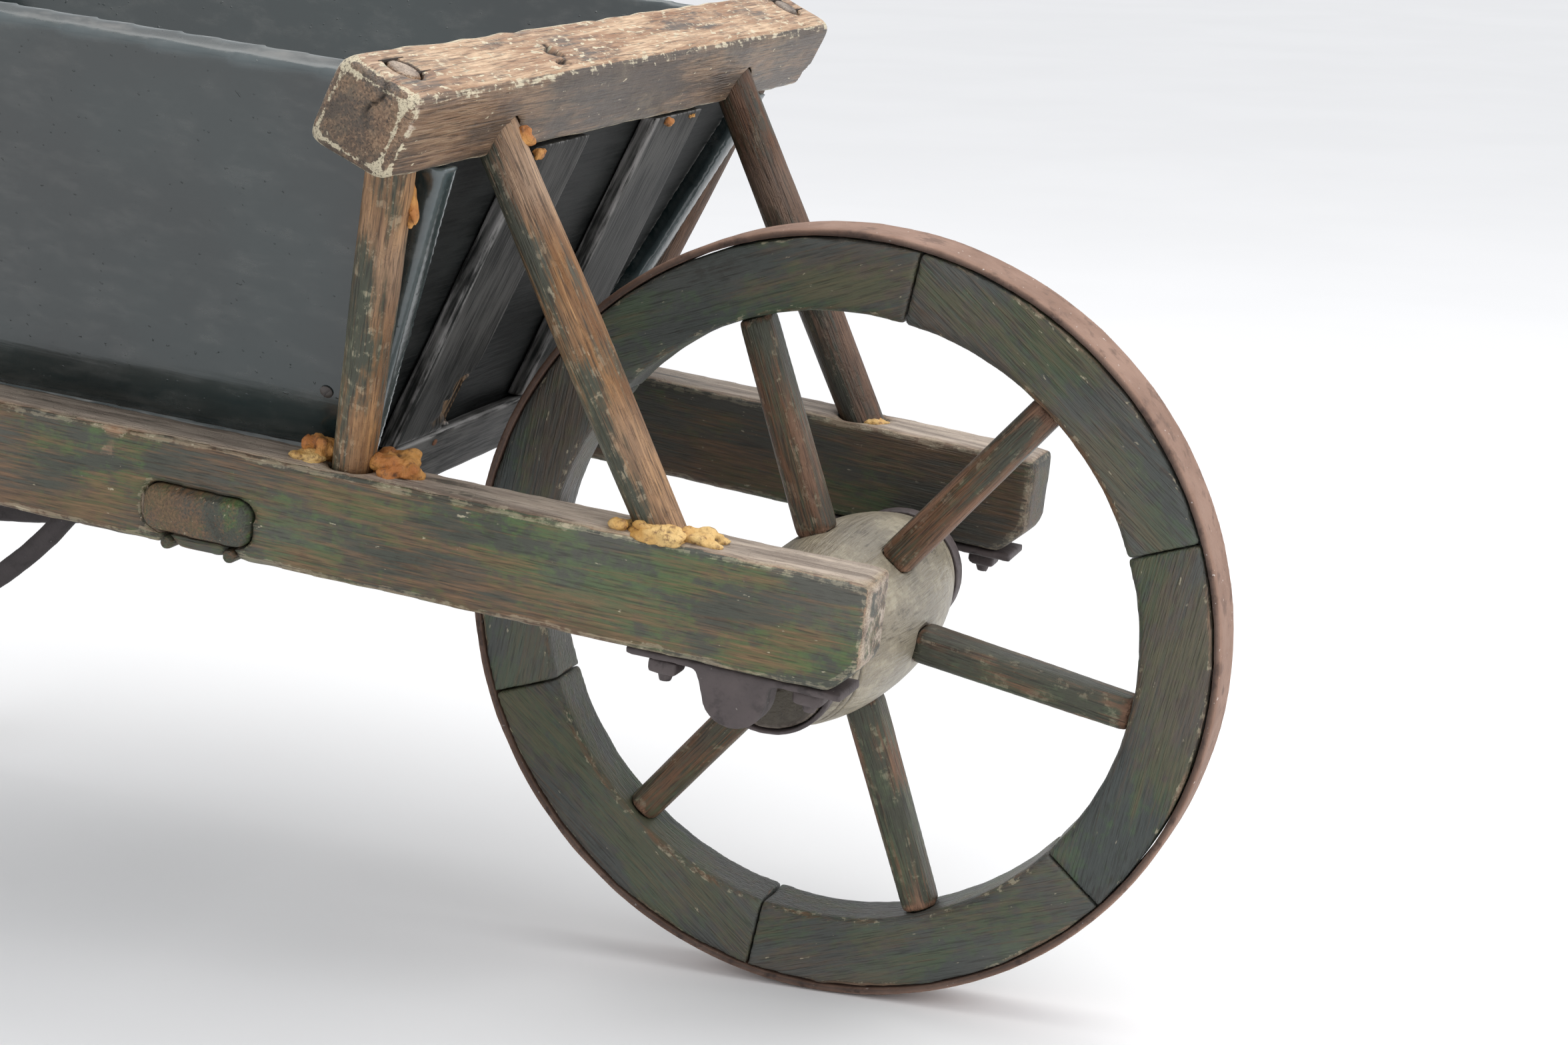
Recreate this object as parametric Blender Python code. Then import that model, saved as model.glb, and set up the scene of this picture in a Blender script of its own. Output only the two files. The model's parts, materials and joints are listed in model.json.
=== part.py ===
"""An antique wooden garden wheelbarrow, modelled piece by piece.

Metres, +Z up, +X forwards (the wheel end), +Y to the left of whoever pushes it. The pieces are laid
out with the wheel's axle over x = 0 and the ground at z = 0, and everything hangs from one empty that
puts the middle of the barrow's length over the origin.
"""

from math import atan, cos, pi, radians, sin, tan

import bmesh
import bpy
from mathutils import Matrix, Vector

# Fits
GAP = 0.0003  # between two pieces that touch
RUNNING_FIT = 0.0004  # radial, between a journal and its bearing
CUT_THROUGH = 0.003  # how much further than its piece a cutter reaches

# Wheel
WHEEL_RADIUS = 0.254
TYRE_THICKNESS = 0.0055
TYRE_WIDTH = 0.0437
FELLOE_WIDTH = 0.0425
FELLOE_DEPTH = 0.047
FELLOE_ARRIS = 0.003
FELLOE_JOINT = 0.0007
FELLOE_STEPS = 10
SPOKE_COUNT = 6
FIRST_SPOKE = radians(47.5)
SPOKE_WIDTH = 0.024
SPOKE_DEPTH = 0.031
SPOKE_CORNER = 0.0085
SPOKE_RIM_SCALE = 0.92
SPOKE_TONGUE_RADIUS = 0.008
SPOKE_TONGUE_LENGTH = 0.030
SPOKE_FOOT_WIDTH = 0.016
SPOKE_FOOT_DEPTH = 0.024
SPOKE_FOOT_CORNER = 0.002
SPOKE_FOOT_LENGTH = 0.022
SPOKE_BITE = 0.0015  # how far a spoke's shoulder is let into the nave
DOWEL_RADIUS = 0.005
DOWEL_LENGTH = 0.040

# Nave, hoops and axle
NAVE_LENGTH = 0.272
NAVE_RADIUS = 0.058
NAVE_END_RADIUS = 0.041
NAVE_CURVE = 2.2  # how much of the swelling is kept for the middle
NAVE_STEPS = 7
HOOP_WIDTH = 0.013
HOOP_THICKNESS = 0.003
AXLE_SIDE = 0.020
AXLE_ARRIS = 0.0015
JOURNAL_RADIUS = 0.009

# Shafts: straight timbers that rise and spread towards the handles
SHAFT_LENGTH = 1.395
SHAFT_HEIGHT = 0.070
SHAFT_FRONT_WIDTH = 0.0475
SHAFT_BACK_WIDTH = 0.037
SHAFT_ARRIS = 0.004
SHAFT_SLOPE = atan(0.1143)
SHAFT_SPLAY = radians(2.05)
SHAFT_OVERHANG = 0.0855
SHAFT_TOP_OVER_AXLE = 0.0776
HALF_TRACK = 0.1824
NOSE_CUT = 0.018  # the slant under the front end
GRIP_RADIUS = 0.018
GRIP_LENGTH = 0.135
GRIP_TAPER = 0.110
GRIP_DROP = 0.026
GRIP_ROUNDING = 0.008

# Bearing brackets and their bolts
BRACKET_HALF_LENGTH = 0.068
BRACKET_THICKNESS = 0.006
BRACKET_WIDTH = 0.038
LUG_RADIUS = 0.021
LUG_THICKNESS = 0.024
LUG_WALL = 0.006  # the closed outer end of the bearing
LUG_SHOULDER = 1.15  # how much wider than its round end the lug is at the plate
LUG_STEPS = 12
BOLT_PLACES = {"front": 0.045, "rear": -0.045}
BOLT_RADIUS = 0.005
BOLT_GRIP = 0.034
BOLT_TIP = 0.006
BOLT_TIP_SCALE = 0.8
NUT_SIDE = 0.019
NUT_THICKNESS = 0.009
NUT_CORNER = 0.002

# The tray and all that carries it are placed from here, clear of the wheel's rim
TRAY_FRONT = -WHEEL_RADIUS - 0.005

# Head rail and its four spindles
LEAN = radians(27)
RAIL_LENGTH = 0.686
RAIL_SIDE = 0.054
RAIL_ARRIS = 0.007
RAIL_END_ARRIS = 0.006
RAIL_CENTRE = (TRAY_FRONT + 0.095, 0.342)  # ahead of the axle, over the axle
REAR_SPINDLE_FOOT = TRAY_FRONT + 0.010
SPINDLES = {  # foot ahead of the axle, head (ahead, out, over the axle), radius
    "front": (-0.050, (TRAY_FRONT + 0.109, 0.194, 0.315), 0.0158),
    "rear": (REAR_SPINDLE_FOOT, (TRAY_FRONT + 0.099, 0.302, 0.352), 0.0145),
}
SPINDLE_FOOT_SCALE = 0.91
SPINDLE_SOCKET = 0.030
REAR_SHOULDER = 0.015  # its shoulder, short of the middle of the rail
REAR_TENON_RADIUS = 0.0105
FRONT_SPINDLE_HEAD_LENGTH = 0.030  # inside the rail
TENON_SET_BACK = 0.0005  # under the surface that a through tenon comes out of

# Tray
BOARD = 0.018
BOARD_ARRIS = 0.002
THIN_ARRIS = 0.0015
FRONT_BOARD_SETBACK = 0.041  # its outer face, ahead of the rail's back face
BATTEN_THICKNESS = 0.012
BATTEN_INNER = 0.055
BATTEN_OUTER = 0.138
TOE_BOTTOM = 0.074
TOE_TOP = 0.113
FLARE = radians(24.3)
PANEL_FOOT = 0.178  # half the width between the panels' outer faces, at the rear spindles' feet
PANEL_SPLAY = 0.055
PANEL_HEIGHT = 0.250
TRAY_BACK = TRAY_FRONT - 0.556
TAIL_LEAN = radians(14)
TAIL_INSET = 0.030
TAIL_DROP = 0.012  # the tail board's top edge, under the panels' top edges
FLOOR_NAMES = ("right", "middle", "left")
FLOOR_SIDE_GAP = 0.002
FLOOR_FRONT_GAP = 0.002
FLOOR_BACK_INSET = 0.004

# Cross-bearers, tenoned right through the shafts
BEARER_WIDTH = 0.074
BEARER_THICKNESS = 0.030
BEARER_PROUD = 0.005
BEARER_DROP = 0.046
BEARER_CORNER = 0.009
BEARER_END_ARRIS = 0.003
BEARER_PLACES = {"front": TRAY_FRONT - 0.085, "middle": TRAY_FRONT - 0.301, "rear": TRAY_FRONT - 0.516}
PEG_RADIUS = 0.0045
PEG_SPACING = 0.043
PEG_DEPTH = 0.030
PEG_PROUD = 0.001
PEG_CLEARANCE = 0.002  # between a peg's hole and the bearer over it

# Legs and their iron stays
LEG_PLACE = TRAY_FRONT - 0.609
LEG_DEPTH = 0.052
LEG_WIDTH = 0.036
LEG_FOOT_SCALE = 0.72
LEG_TAPER_TOP = 0.75  # the share of its height where the taper ends
LEG_ARRIS = 0.0025
LEG_TENON_LENGTH = 0.030
LEG_TENON_WIDTH = 0.015
STAY_RADIUS = 0.0075
STAY_FRONT = TRAY_FRONT - 0.187
STAY_DROP_ANGLE = radians(48)
STAY_HEIGHT = 0.200
STAY_PALM_LENGTH = 0.050
STAY_PALM_WIDTH = 0.022
STAY_PALM_THICKNESS = 0.006
STAY_SOCKET = 0.025
STAY_STEPS = 18
STAY_SIDES = 12
STAY_LEAD = 0.130  # how long the bar keeps its first and its last direction
STAY_TAIL = 0.160
PALM_ABOVE_BAR = 0.012
PALM_ARRIS = 0.0012
STAY_BOLT_RADIUS = 0.0035
STAY_BOLT_HEAD = 0.0085
STAY_BOLT_DOME = 0.0055
STAY_BOLT_DEPTH = 0.030
STAY_BOLT_DROP = 0.026  # under the middle of the bar's end

SIDES = {"right": -1, "left": 1}
ROUND = 20
MORE_ROUND = 40


# ---------------------------------------------------------------- materials


def make_material(name, colour, roughness, metallic=0.0):
    material = bpy.data.materials.new(name)
    material.use_nodes = True
    shader = material.node_tree.nodes["Principled BSDF"]
    shader.inputs["Base Color"].default_value = (*colour, 1.0)
    shader.inputs["Roughness"].default_value = roughness
    shader.inputs["Metallic"].default_value = metallic
    material.diffuse_color = (*colour, 1.0)
    return material


def make_materials():
    return {
        "green_wood": make_material("green_wood", (0.085, 0.095, 0.055), 0.62),
        "worn_wood": make_material("worn_wood", (0.33, 0.22, 0.13), 0.6),
        "nave_wood": make_material("nave_wood", (0.19, 0.19, 0.14), 0.55),
        "tray_paint": make_material("tray_paint", (0.012, 0.018, 0.020), 0.22),
        "rusty_tyre": make_material("rusty_tyre", (0.23, 0.15, 0.12), 0.75, 0.3),
        "dark_iron": make_material("dark_iron", (0.045, 0.038, 0.036), 0.65, 0.6),
    }


# ---------------------------------------------------------------- meshes


def finish(bm, name):
    """Turns the faces outwards and hands back a mesh."""
    bmesh.ops.recalc_face_normals(bm, faces=bm.faces)
    mesh = bpy.data.meshes.new(name)
    bm.to_mesh(mesh)
    bm.free()
    return mesh


def loft(rings, name="loft", closed=False):
    """A solid through rings of the same number of points: capped, or joined up end to end."""
    bm = bmesh.new()
    loops = [[bm.verts.new(point) for point in ring] for ring in rings]
    pairs = list(zip(loops, loops[1:]))
    if closed:
        pairs.append((loops[-1], loops[0]))
    else:
        bm.faces.new(loops[0])
        bm.faces.new(loops[-1])
    for first, second in pairs:
        for i in range(len(first)):
            j = (i + 1) % len(first)
            bm.faces.new((first[i], first[j], second[j], second[i]))
    return finish(bm, name)


def ease(mesh, width):
    """Takes the sharp arrises off a mesh."""
    bm = bmesh.new()
    bm.from_mesh(mesh)
    sharp = [edge for edge in bm.edges if edge.calc_face_angle(0) > radians(20)]
    bmesh.ops.bevel(bm, geom=sharp, offset=width, segments=1, affect="EDGES", profile=0.5)
    bm.to_mesh(mesh)
    bm.free()
    return mesh


def block(size, centre=(0, 0, 0), arris=0.0, name="block"):
    bm = bmesh.new()
    bmesh.ops.create_cube(bm, size=1)
    bmesh.ops.scale(bm, verts=bm.verts, vec=size)
    bmesh.ops.translate(bm, verts=bm.verts, vec=centre)
    mesh = finish(bm, name)
    return ease(mesh, arris) if arris else mesh


def turned(profile, sides, name="turned", closed=False):
    """A solid of revolution about Y from (radius, y) points, a ring when closed."""
    rings = []
    for radius, along in profile:
        rings.append([
            (radius * cos(2 * pi * i / sides), along, radius * sin(2 * pi * i / sides))
            for i in range(sides)
        ])
    return loft(rings, name, closed)


def section(x, width, top, bottom, corner, steps=4):
    """A rounded rectangle across the X axis."""
    half = width / 2
    corner = min(corner, half - 1e-6, (top - bottom) / 2 - 1e-6)
    centres = (
        (half - corner, top - corner),
        (corner - half, top - corner),
        (corner - half, bottom + corner),
        (half - corner, bottom + corner),
    )
    points = []
    for quarter, (y, z) in enumerate(centres):
        for i in range(steps + 1):
            angle = (quarter + i / steps) * pi / 2
            points.append(Vector((x, y + corner * cos(angle), z + corner * sin(angle))))
    return points


def timber_mesh(half, width, thickness, corner, end_arris, grow=0.0):
    """A round-cornered timber along Y. Grown, it is the tool that cuts the timber's own mortise."""
    rings = []
    if grow:
        ends = ((-half - CUT_THROUGH, -grow), (half + CUT_THROUGH, -grow))
    else:
        ends = ((-half, end_arris), (end_arris - half, 0), (half - end_arris, 0), (half, end_arris))
    for y, less in ends:
        low, high = less - thickness / 2, thickness / 2 - less
        rings.append(across(y, section(0, width - 2 * less, high, low, corner - less)))
    return loft(rings)


def across(y, ring):
    """A ring drawn across the X axis, turned to lie across the Y axis."""
    return [Vector((point.y, y, point.z)) for point in ring]


def place_object(name, mesh, material, matrix=None, parent=None):
    mesh.name = name
    mesh.shade_smooth()
    mesh.set_sharp_from_angle(angle=radians(35))
    mesh.materials.clear()
    mesh.materials.append(material)
    piece = bpy.data.objects.new(name, mesh)
    bpy.context.scene.collection.objects.link(piece)
    piece.parent = parent
    if matrix is not None:
        piece.matrix_local = matrix
    return piece


def combine(mesh, others, operation):
    """The mesh after a Boolean with each of the others in turn."""
    body = bpy.data.objects.new("body", mesh)
    helpers = [body]
    for other in others:
        helper = bpy.data.objects.new("helper", other)
        modifier = body.modifiers.new(operation, "BOOLEAN")
        modifier.operation = operation
        modifier.solver = "EXACT"
        modifier.object = helper
        helpers.append(helper)
    for helper in helpers:
        bpy.context.scene.collection.objects.link(helper)
    graph = bpy.context.evaluated_depsgraph_get()
    result = bpy.data.meshes.new_from_object(body.evaluated_get(graph))
    for helper in helpers:
        bpy.data.objects.remove(helper)
    return result


def carve(mesh, tools, frame=None):
    """The mesh with every tool cut out of it. The tools stand in the barrow, and the mesh in its frame."""
    if frame is not None:
        tools = [moved(tool.copy(), frame.inverted()) for tool in tools]
    return combine(mesh, tools, "DIFFERENCE")


def unite(first, second):
    return combine(first, [second], "UNION")


def moved(mesh, matrix):
    mesh.transform(matrix)
    return mesh


def between(start, end):
    """The frame whose Y axis runs from start to end."""
    direction = Vector(end) - Vector(start)
    return Matrix.Translation(start) @ direction.to_track_quat("Y", "Z").to_matrix().to_4x4()


# ---------------------------------------------------------------- shared geometry


def shaft_frame(side):
    """A shaft's own frame: the middle of its front end's top edge, +X forwards along the timber."""
    start = Vector((SHAFT_OVERHANG, side * HALF_TRACK, WHEEL_RADIUS + SHAFT_TOP_OVER_AXLE))
    return (
        Matrix.Translation(start)
        @ Matrix.Rotation(-side * SHAFT_SPLAY, 4, "Z")
        @ Matrix.Rotation(SHAFT_SLOPE, 4, "Y")
    )


def shaft_point(side, x, drop=0.0):
    """The point on a shaft's middle line at this x, this far under its top face."""
    along = (x - SHAFT_OVERHANG + drop * sin(SHAFT_SLOPE)) / (cos(SHAFT_SLOPE) * cos(SHAFT_SPLAY))
    return shaft_frame(side) @ Vector((along, 0, -drop))


def shaft_width(x):
    share = (SHAFT_OVERHANG - x) / (SHAFT_LENGTH - GRIP_LENGTH)
    return SHAFT_FRONT_WIDTH + (SHAFT_BACK_WIDTH - SHAFT_FRONT_WIDTH) * share


def shaft_top(x):
    return shaft_point(1, x).z


def shaft_bottom(x):
    return shaft_point(1, x, SHAFT_HEIGHT).z


def rail_frame():
    """Its X axis is square to the front board, and its Z axis runs up the board's slope."""
    ahead, over = RAIL_CENTRE
    return Matrix.Translation((ahead, 0, WHEEL_RADIUS + over)) @ Matrix.Rotation(LEAN, 4, "Y")


def panel_foot(x):
    """Half the width between the panels' outer faces, on the shafts' tops."""
    return PANEL_FOOT + PANEL_SPLAY * (REAR_SPINDLE_FOOT - x)


def panel_half_width(x, z):
    """Half the width between the panels' outer faces at any height."""
    return panel_foot(x) + (z - shaft_top(x)) * tan(FLARE)


def sloped_x(offset, z):
    """Where a plane parallel to the front board stands at height z. The offset is from the rail's back."""
    origin = rail_frame() @ Vector((offset - RAIL_SIDE / 2, 0, 0))
    return origin.x + (z - origin.z) * tan(LEAN)


def tail_x(offset, z):
    """Where a plane parallel to the tail board stands at height z. The offset is from its inner face."""
    return TRAY_BACK + TAIL_INSET - offset / cos(TAIL_LEAN) - (z - shaft_top(TRAY_BACK)) * tan(TAIL_LEAN)


# ---------------------------------------------------------------- wheel


def spoke_mesh(shoulder, rim, grow=0.0):
    """A spoke along +X: square foot, shouldered body from nave to rim, round tongue."""

    def ring(x, width, depth, corner):
        return section(x, depth + 2 * grow, width / 2 + grow, -width / 2 - grow, corner)

    foot = (SPOKE_FOOT_WIDTH, SPOKE_FOOT_DEPTH, SPOKE_FOOT_CORNER)
    tongue = (2 * SPOKE_TONGUE_RADIUS, 2 * SPOKE_TONGUE_RADIUS, SPOKE_TONGUE_RADIUS + grow)
    return loft([
        ring(shoulder - SPOKE_FOOT_LENGTH - grow, *foot),
        ring(shoulder, *foot),
        ring(shoulder, SPOKE_WIDTH, SPOKE_DEPTH, SPOKE_CORNER),
        ring(rim, SPOKE_WIDTH * SPOKE_RIM_SCALE, SPOKE_DEPTH * SPOKE_RIM_SCALE, SPOKE_CORNER),
        ring(rim, *tongue),
        ring(rim + SPOKE_TONGUE_LENGTH + grow, *tongue),
    ], "spoke")


def turn(angle):
    """A turn in the wheel's own plane, from +X towards +Z."""
    return Matrix.Rotation(-angle, 4, "Y")


def felloe_blank(inner, outer):
    """One length of the rim, centred on +X, its inner arrises chamfered."""
    half_span = pi / SPOKE_COUNT - FELLOE_JOINT / 2 / outer
    half = FELLOE_WIDTH / 2
    rings = []
    for i in range(FELLOE_STEPS + 1):
        angle = -half_span + 2 * half_span * i / FELLOE_STEPS
        corners = (
            (inner + FELLOE_ARRIS, -half), (inner, FELLOE_ARRIS - half),
            (inner, half - FELLOE_ARRIS), (inner + FELLOE_ARRIS, half), (outer, half), (outer, -half),
        )
        rings.append([(r * cos(angle), y, r * sin(angle)) for r, y in corners])
    return loft(rings, "felloe")


def dowel_mesh(radius, length):
    half = length / 2
    return turned([(radius, -half), (radius, half)], ROUND, "dowel")


def dowel_frame(radius, angle):
    """A dowel lies across a joint between two felloes."""
    return turn(angle) @ Matrix.Translation((radius, 0, 0)) @ Matrix.Rotation(pi / 2, 4, "X")


def tyre_mesh(inner):
    half = TYRE_WIDTH / 2
    worn = TYRE_THICKNESS / 3
    return turned([
        (inner, -half), (WHEEL_RADIUS - worn, -half), (WHEEL_RADIUS, worn - half),
        (WHEEL_RADIUS, half - worn), (WHEEL_RADIUS - worn, half), (inner, half),
    ], SPOKE_COUNT * FELLOE_STEPS * 2, "tyre", closed=True)


def build_wheel(materials, parent):
    wood = materials["green_wood"]
    tyre_inner = WHEEL_RADIUS - TYRE_THICKNESS
    place_object("tyre", tyre_mesh(tyre_inner), materials["rusty_tyre"], parent=parent)

    felloe_outer = tyre_inner - GAP
    felloe_inner = felloe_outer - FELLOE_DEPTH
    shoulder = nave_radius(SPOKE_DEPTH / 2) - SPOKE_BITE
    spoke = spoke_mesh(shoulder, felloe_inner - GAP)
    mortise = spoke_mesh(shoulder, felloe_inner - GAP, GAP)
    dowel = dowel_mesh(DOWEL_RADIUS, DOWEL_LENGTH)
    socket = dowel_mesh(DOWEL_RADIUS + GAP, DOWEL_LENGTH + 2 * GAP)
    dowel_radius = (felloe_inner + felloe_outer) / 2
    joint = pi / SPOKE_COUNT
    sockets = [moved(socket.copy(), dowel_frame(dowel_radius, angle)) for angle in (-joint, joint)]
    felloe = carve(felloe_blank(felloe_inner, felloe_outer), [mortise, *sockets])
    for i in range(SPOKE_COUNT):
        angle = FIRST_SPOKE + i * 2 * pi / SPOKE_COUNT
        place_object(f"felloe_{i + 1}", felloe.copy(), wood, turn(angle), parent)
        place_object(f"spoke_{i + 1}", spoke.copy(), wood, turn(angle), parent)
        place_object(f"felloe_dowel_{i + 1}", dowel.copy(), wood,
                     dowel_frame(dowel_radius, angle + joint), parent)
    build_nave(materials, parent, mortise)
    build_axle(materials, parent)


def nave_radius(y):
    """The barrel's radius at a distance from its middle."""
    share = min(abs(y) / (NAVE_LENGTH / 2 - HOOP_WIDTH), 1.0)
    return NAVE_RADIUS - (NAVE_RADIUS - NAVE_END_RADIUS) * share ** NAVE_CURVE


def build_nave(materials, parent, mortise):
    """A barrel of wood with a seat at each end for its iron hoop."""
    half = NAVE_LENGTH / 2
    seat = NAVE_END_RADIUS - HOOP_THICKNESS / 2
    shoulder = half - HOOP_WIDTH - GAP
    places = [shoulder * i / NAVE_STEPS for i in range(-NAVE_STEPS, NAVE_STEPS + 1)]
    profile = [(seat, -half), (seat, -shoulder)]
    profile += [(nave_radius(y), y) for y in places]
    profile += [(seat, shoulder), (seat, half)]
    tools = [block((AXLE_SIDE + 2 * GAP, NAVE_LENGTH * 2, AXLE_SIDE + 2 * GAP))]
    for i in range(SPOKE_COUNT):
        tools.append(moved(mortise.copy(), turn(FIRST_SPOKE + i * 2 * pi / SPOKE_COUNT)))
    nave = carve(turned(profile, MORE_ROUND), tools)
    place_object("nave", nave, materials["nave_wood"], parent=parent)

    inner = seat + GAP
    outer = inner + HOOP_THICKNESS
    for name, side in SIDES.items():
        low, high = sorted((side * (half - HOOP_WIDTH), side * half))
        hoop = turned([(inner, low), (outer, low), (outer, high), (inner, high)], MORE_ROUND, closed=True)
        place_object(f"nave_hoop_{name}", hoop, materials["dark_iron"], parent=parent)


def build_axle(materials, parent):
    """Square through the nave, round in the bearings."""
    rings = []
    for y, radius, corner in (
        (-axle_reach(), JOURNAL_RADIUS, JOURNAL_RADIUS),
        (-NAVE_LENGTH / 2, JOURNAL_RADIUS, JOURNAL_RADIUS),
        (-NAVE_LENGTH / 2, AXLE_SIDE / 2, AXLE_ARRIS),
        (NAVE_LENGTH / 2, AXLE_SIDE / 2, AXLE_ARRIS),
        (NAVE_LENGTH / 2, JOURNAL_RADIUS, JOURNAL_RADIUS),
        (axle_reach(), JOURNAL_RADIUS, JOURNAL_RADIUS),
    ):
        rings.append(across(y, section(0, 2 * radius, radius, -radius, corner)))
    place_object("axle", loft(rings), materials["dark_iron"], parent=parent)


# ---------------------------------------------------------------- bearings


def lug_outer():
    """How far from the middle of the barrow the bearing lugs' outer faces stand."""
    return HALF_TRACK + BRACKET_WIDTH / 2


def axle_reach():
    return lug_outer() - LUG_WALL - GAP


def bolt_frame(side, x):
    """A bolt's own frame: on the shaft's underside, its Y axis pointing down, square to the shaft."""
    return (
        Matrix.Translation(shaft_point(side, x, SHAFT_HEIGHT))
        @ Matrix.Rotation(SHAFT_SLOPE, 4, "Y")
        @ Matrix.Rotation(-pi / 2, 4, "X")
    )


def bolt_hole():
    return turned([
        (BOLT_RADIUS + GAP, -BOLT_GRIP - GAP), (BOLT_RADIUS + GAP, BRACKET_THICKNESS * 2),
    ], ROUND, "bolt_hole")


def bracket_outlines():
    """The plate under the shaft and the rounded lug that hangs from it, seen from the side."""
    ends = (BRACKET_HALF_LENGTH, -BRACKET_HALF_LENGTH)
    plate = [(x, shaft_bottom(x) - GAP) for x in ends]
    plate += [(x, shaft_bottom(x) - GAP - BRACKET_THICKNESS) for x in reversed(ends)]
    lug = []
    for i in range(LUG_STEPS + 1):
        angle = pi + pi * i / LUG_STEPS
        lug.append((LUG_RADIUS * cos(angle), WHEEL_RADIUS + LUG_RADIUS * sin(angle)))
    shoulder = LUG_RADIUS * LUG_SHOULDER
    for x in (shoulder, -shoulder):
        lug.append((x, shaft_bottom(x) - GAP - BRACKET_THICKNESS / 2))
    return plate, lug


def slab(outline, side, inner, outer):
    """An outline in x and z, given a thickness between two distances from the barrow's middle."""
    return loft([[(x, side * y, z) for x, z in outline] for y in (inner, outer)])


def build_bracket(name, side, materials, parent):
    """An iron bearing bolted under the shaft, closed at its outer end."""
    plate, lug = bracket_outlines()
    outer = lug_outer()
    joined = unite(
        slab(plate, side, outer - BRACKET_WIDTH, outer), slab(lug, side, outer - LUG_THICKNESS, outer)
    )
    bore_radius = JOURNAL_RADIUS + RUNNING_FIT
    bore = turned([(bore_radius, 0), (bore_radius, side * (outer - LUG_WALL))], MORE_ROUND)
    tools = [moved(bore, Matrix.Translation((0, 0, WHEEL_RADIUS)))]
    tools += [moved(bolt_hole(), bolt_frame(side, x)) for x in BOLT_PLACES.values()]
    place_object(f"bearing_bracket_{name}", carve(joined, tools), materials["dark_iron"], parent=parent)
    for end, x in BOLT_PLACES.items():
        place_object(f"bracket_bolt_{end}_{name}", bolt_mesh(), materials["dark_iron"],
                     bolt_frame(side, x), parent)


def bolt_mesh():
    """A bolt up into the shaft, with its square nut run home under the plate."""
    seat = BRACKET_THICKNESS + 2 * GAP
    end = seat + NUT_THICKNESS
    half = NUT_SIDE / 2
    rings = []
    for y, size, corner in (
        (-BOLT_GRIP, BOLT_RADIUS, BOLT_RADIUS), (seat, BOLT_RADIUS, BOLT_RADIUS),
        (seat, half, NUT_CORNER), (end - NUT_CORNER, half, NUT_CORNER),
        (end, half - NUT_CORNER / 2, NUT_CORNER),
        (end, BOLT_RADIUS, BOLT_RADIUS), (end + BOLT_TIP, BOLT_RADIUS * BOLT_TIP_SCALE, BOLT_RADIUS),
    ):
        rings.append(across(y, section(0, 2 * size, size, -size, corner)))
    return loft(rings)


# ---------------------------------------------------------------- shafts


def shaft_mesh():
    """One shaft in its own frame: slanted nose, long straight timber, turned grip."""
    grip_end = -SHAFT_LENGTH
    grip_start = grip_end + GRIP_LENGTH
    taper_start = grip_start + GRIP_TAPER
    middle = (taper_start + grip_start) / 2
    top, bottom = GRIP_RADIUS - GRIP_DROP, -GRIP_RADIUS - GRIP_DROP
    nose = SHAFT_ARRIS / 2
    return loft([
        section(0, SHAFT_FRONT_WIDTH - SHAFT_ARRIS, -nose, NOSE_CUT - SHAFT_HEIGHT, SHAFT_ARRIS),
        section(-nose, SHAFT_FRONT_WIDTH, 0, NOSE_CUT - nose - SHAFT_HEIGHT, SHAFT_ARRIS),
        section(-NOSE_CUT, SHAFT_FRONT_WIDTH, 0, -SHAFT_HEIGHT, SHAFT_ARRIS),
        section(taper_start, SHAFT_BACK_WIDTH, 0, -SHAFT_HEIGHT, SHAFT_ARRIS),
        section(middle, SHAFT_BACK_WIDTH, top / 2, (bottom - SHAFT_HEIGHT) / 2, GRIP_RADIUS / 2),
        section(grip_start, 2 * GRIP_RADIUS, top, bottom, GRIP_RADIUS),
        section(grip_end + GRIP_ROUNDING, 2 * GRIP_RADIUS, top, bottom, GRIP_RADIUS),
        section(grip_end, 2 * (GRIP_RADIUS - GRIP_ROUNDING), top - GRIP_ROUNDING,
                bottom + GRIP_ROUNDING, GRIP_RADIUS),
    ])


def build_shaft(name, side, materials, parent):
    frame = shaft_frame(side)
    tools = [moved(bolt_hole(), bolt_frame(side, x)) for x in BOLT_PLACES.values()]
    tools += [bearer_mesh(x, GAP) for x in BEARER_PLACES.values()]
    tools += [spindle_mesh(end, side, GAP) for end in ("front", "rear")]
    tools += [peg_mesh(side, x, GAP) for x in peg_places().values()]
    tools += [moved(tenon_block(GAP), side_frame(side, LEG_PLACE)), stay_socket(side)]
    place_object(f"shaft_{name}", carve(shaft_mesh(), tools, frame), materials["green_wood"],
                 frame, parent)


# ---------------------------------------------------------------- bearers


def bearer_mesh(x, grow=0.0):
    """A plank from shaft to shaft, its ends standing a little proud of the shafts' outer faces."""
    point = shaft_point(1, x, BEARER_DROP)
    half = point.y + shaft_width(x) / 2 + BEARER_PROUD
    middle = Matrix.Translation((point.x, 0, point.z)) @ Matrix.Rotation(SHAFT_SLOPE, 4, "Y")
    return moved(timber_mesh(half, BEARER_WIDTH, BEARER_THICKNESS, BEARER_CORNER, BEARER_END_ARRIS, grow),
                 middle)


def peg_places():
    """The pegs under the front bearer's ends, seen from outside."""
    x = BEARER_PLACES["front"]
    return {"front": x + PEG_SPACING / 2, "rear": x - PEG_SPACING / 2}


def peg_mesh(side, x, grow=0.0):
    drop = BEARER_DROP + BEARER_THICKNESS / 2 + PEG_RADIUS + PEG_CLEARANCE
    point = shaft_point(side, x, drop)
    face = abs(point.y) + shaft_width(x) / 2
    radius = PEG_RADIUS + grow
    outer = face + PEG_PROUD + (CUT_THROUGH if grow else 0)
    peg = turned([(radius, side * (face - PEG_DEPTH - grow)), (radius, side * outer)], ROUND)
    return moved(peg, Matrix.Translation((point.x, 0, point.z)))


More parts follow.
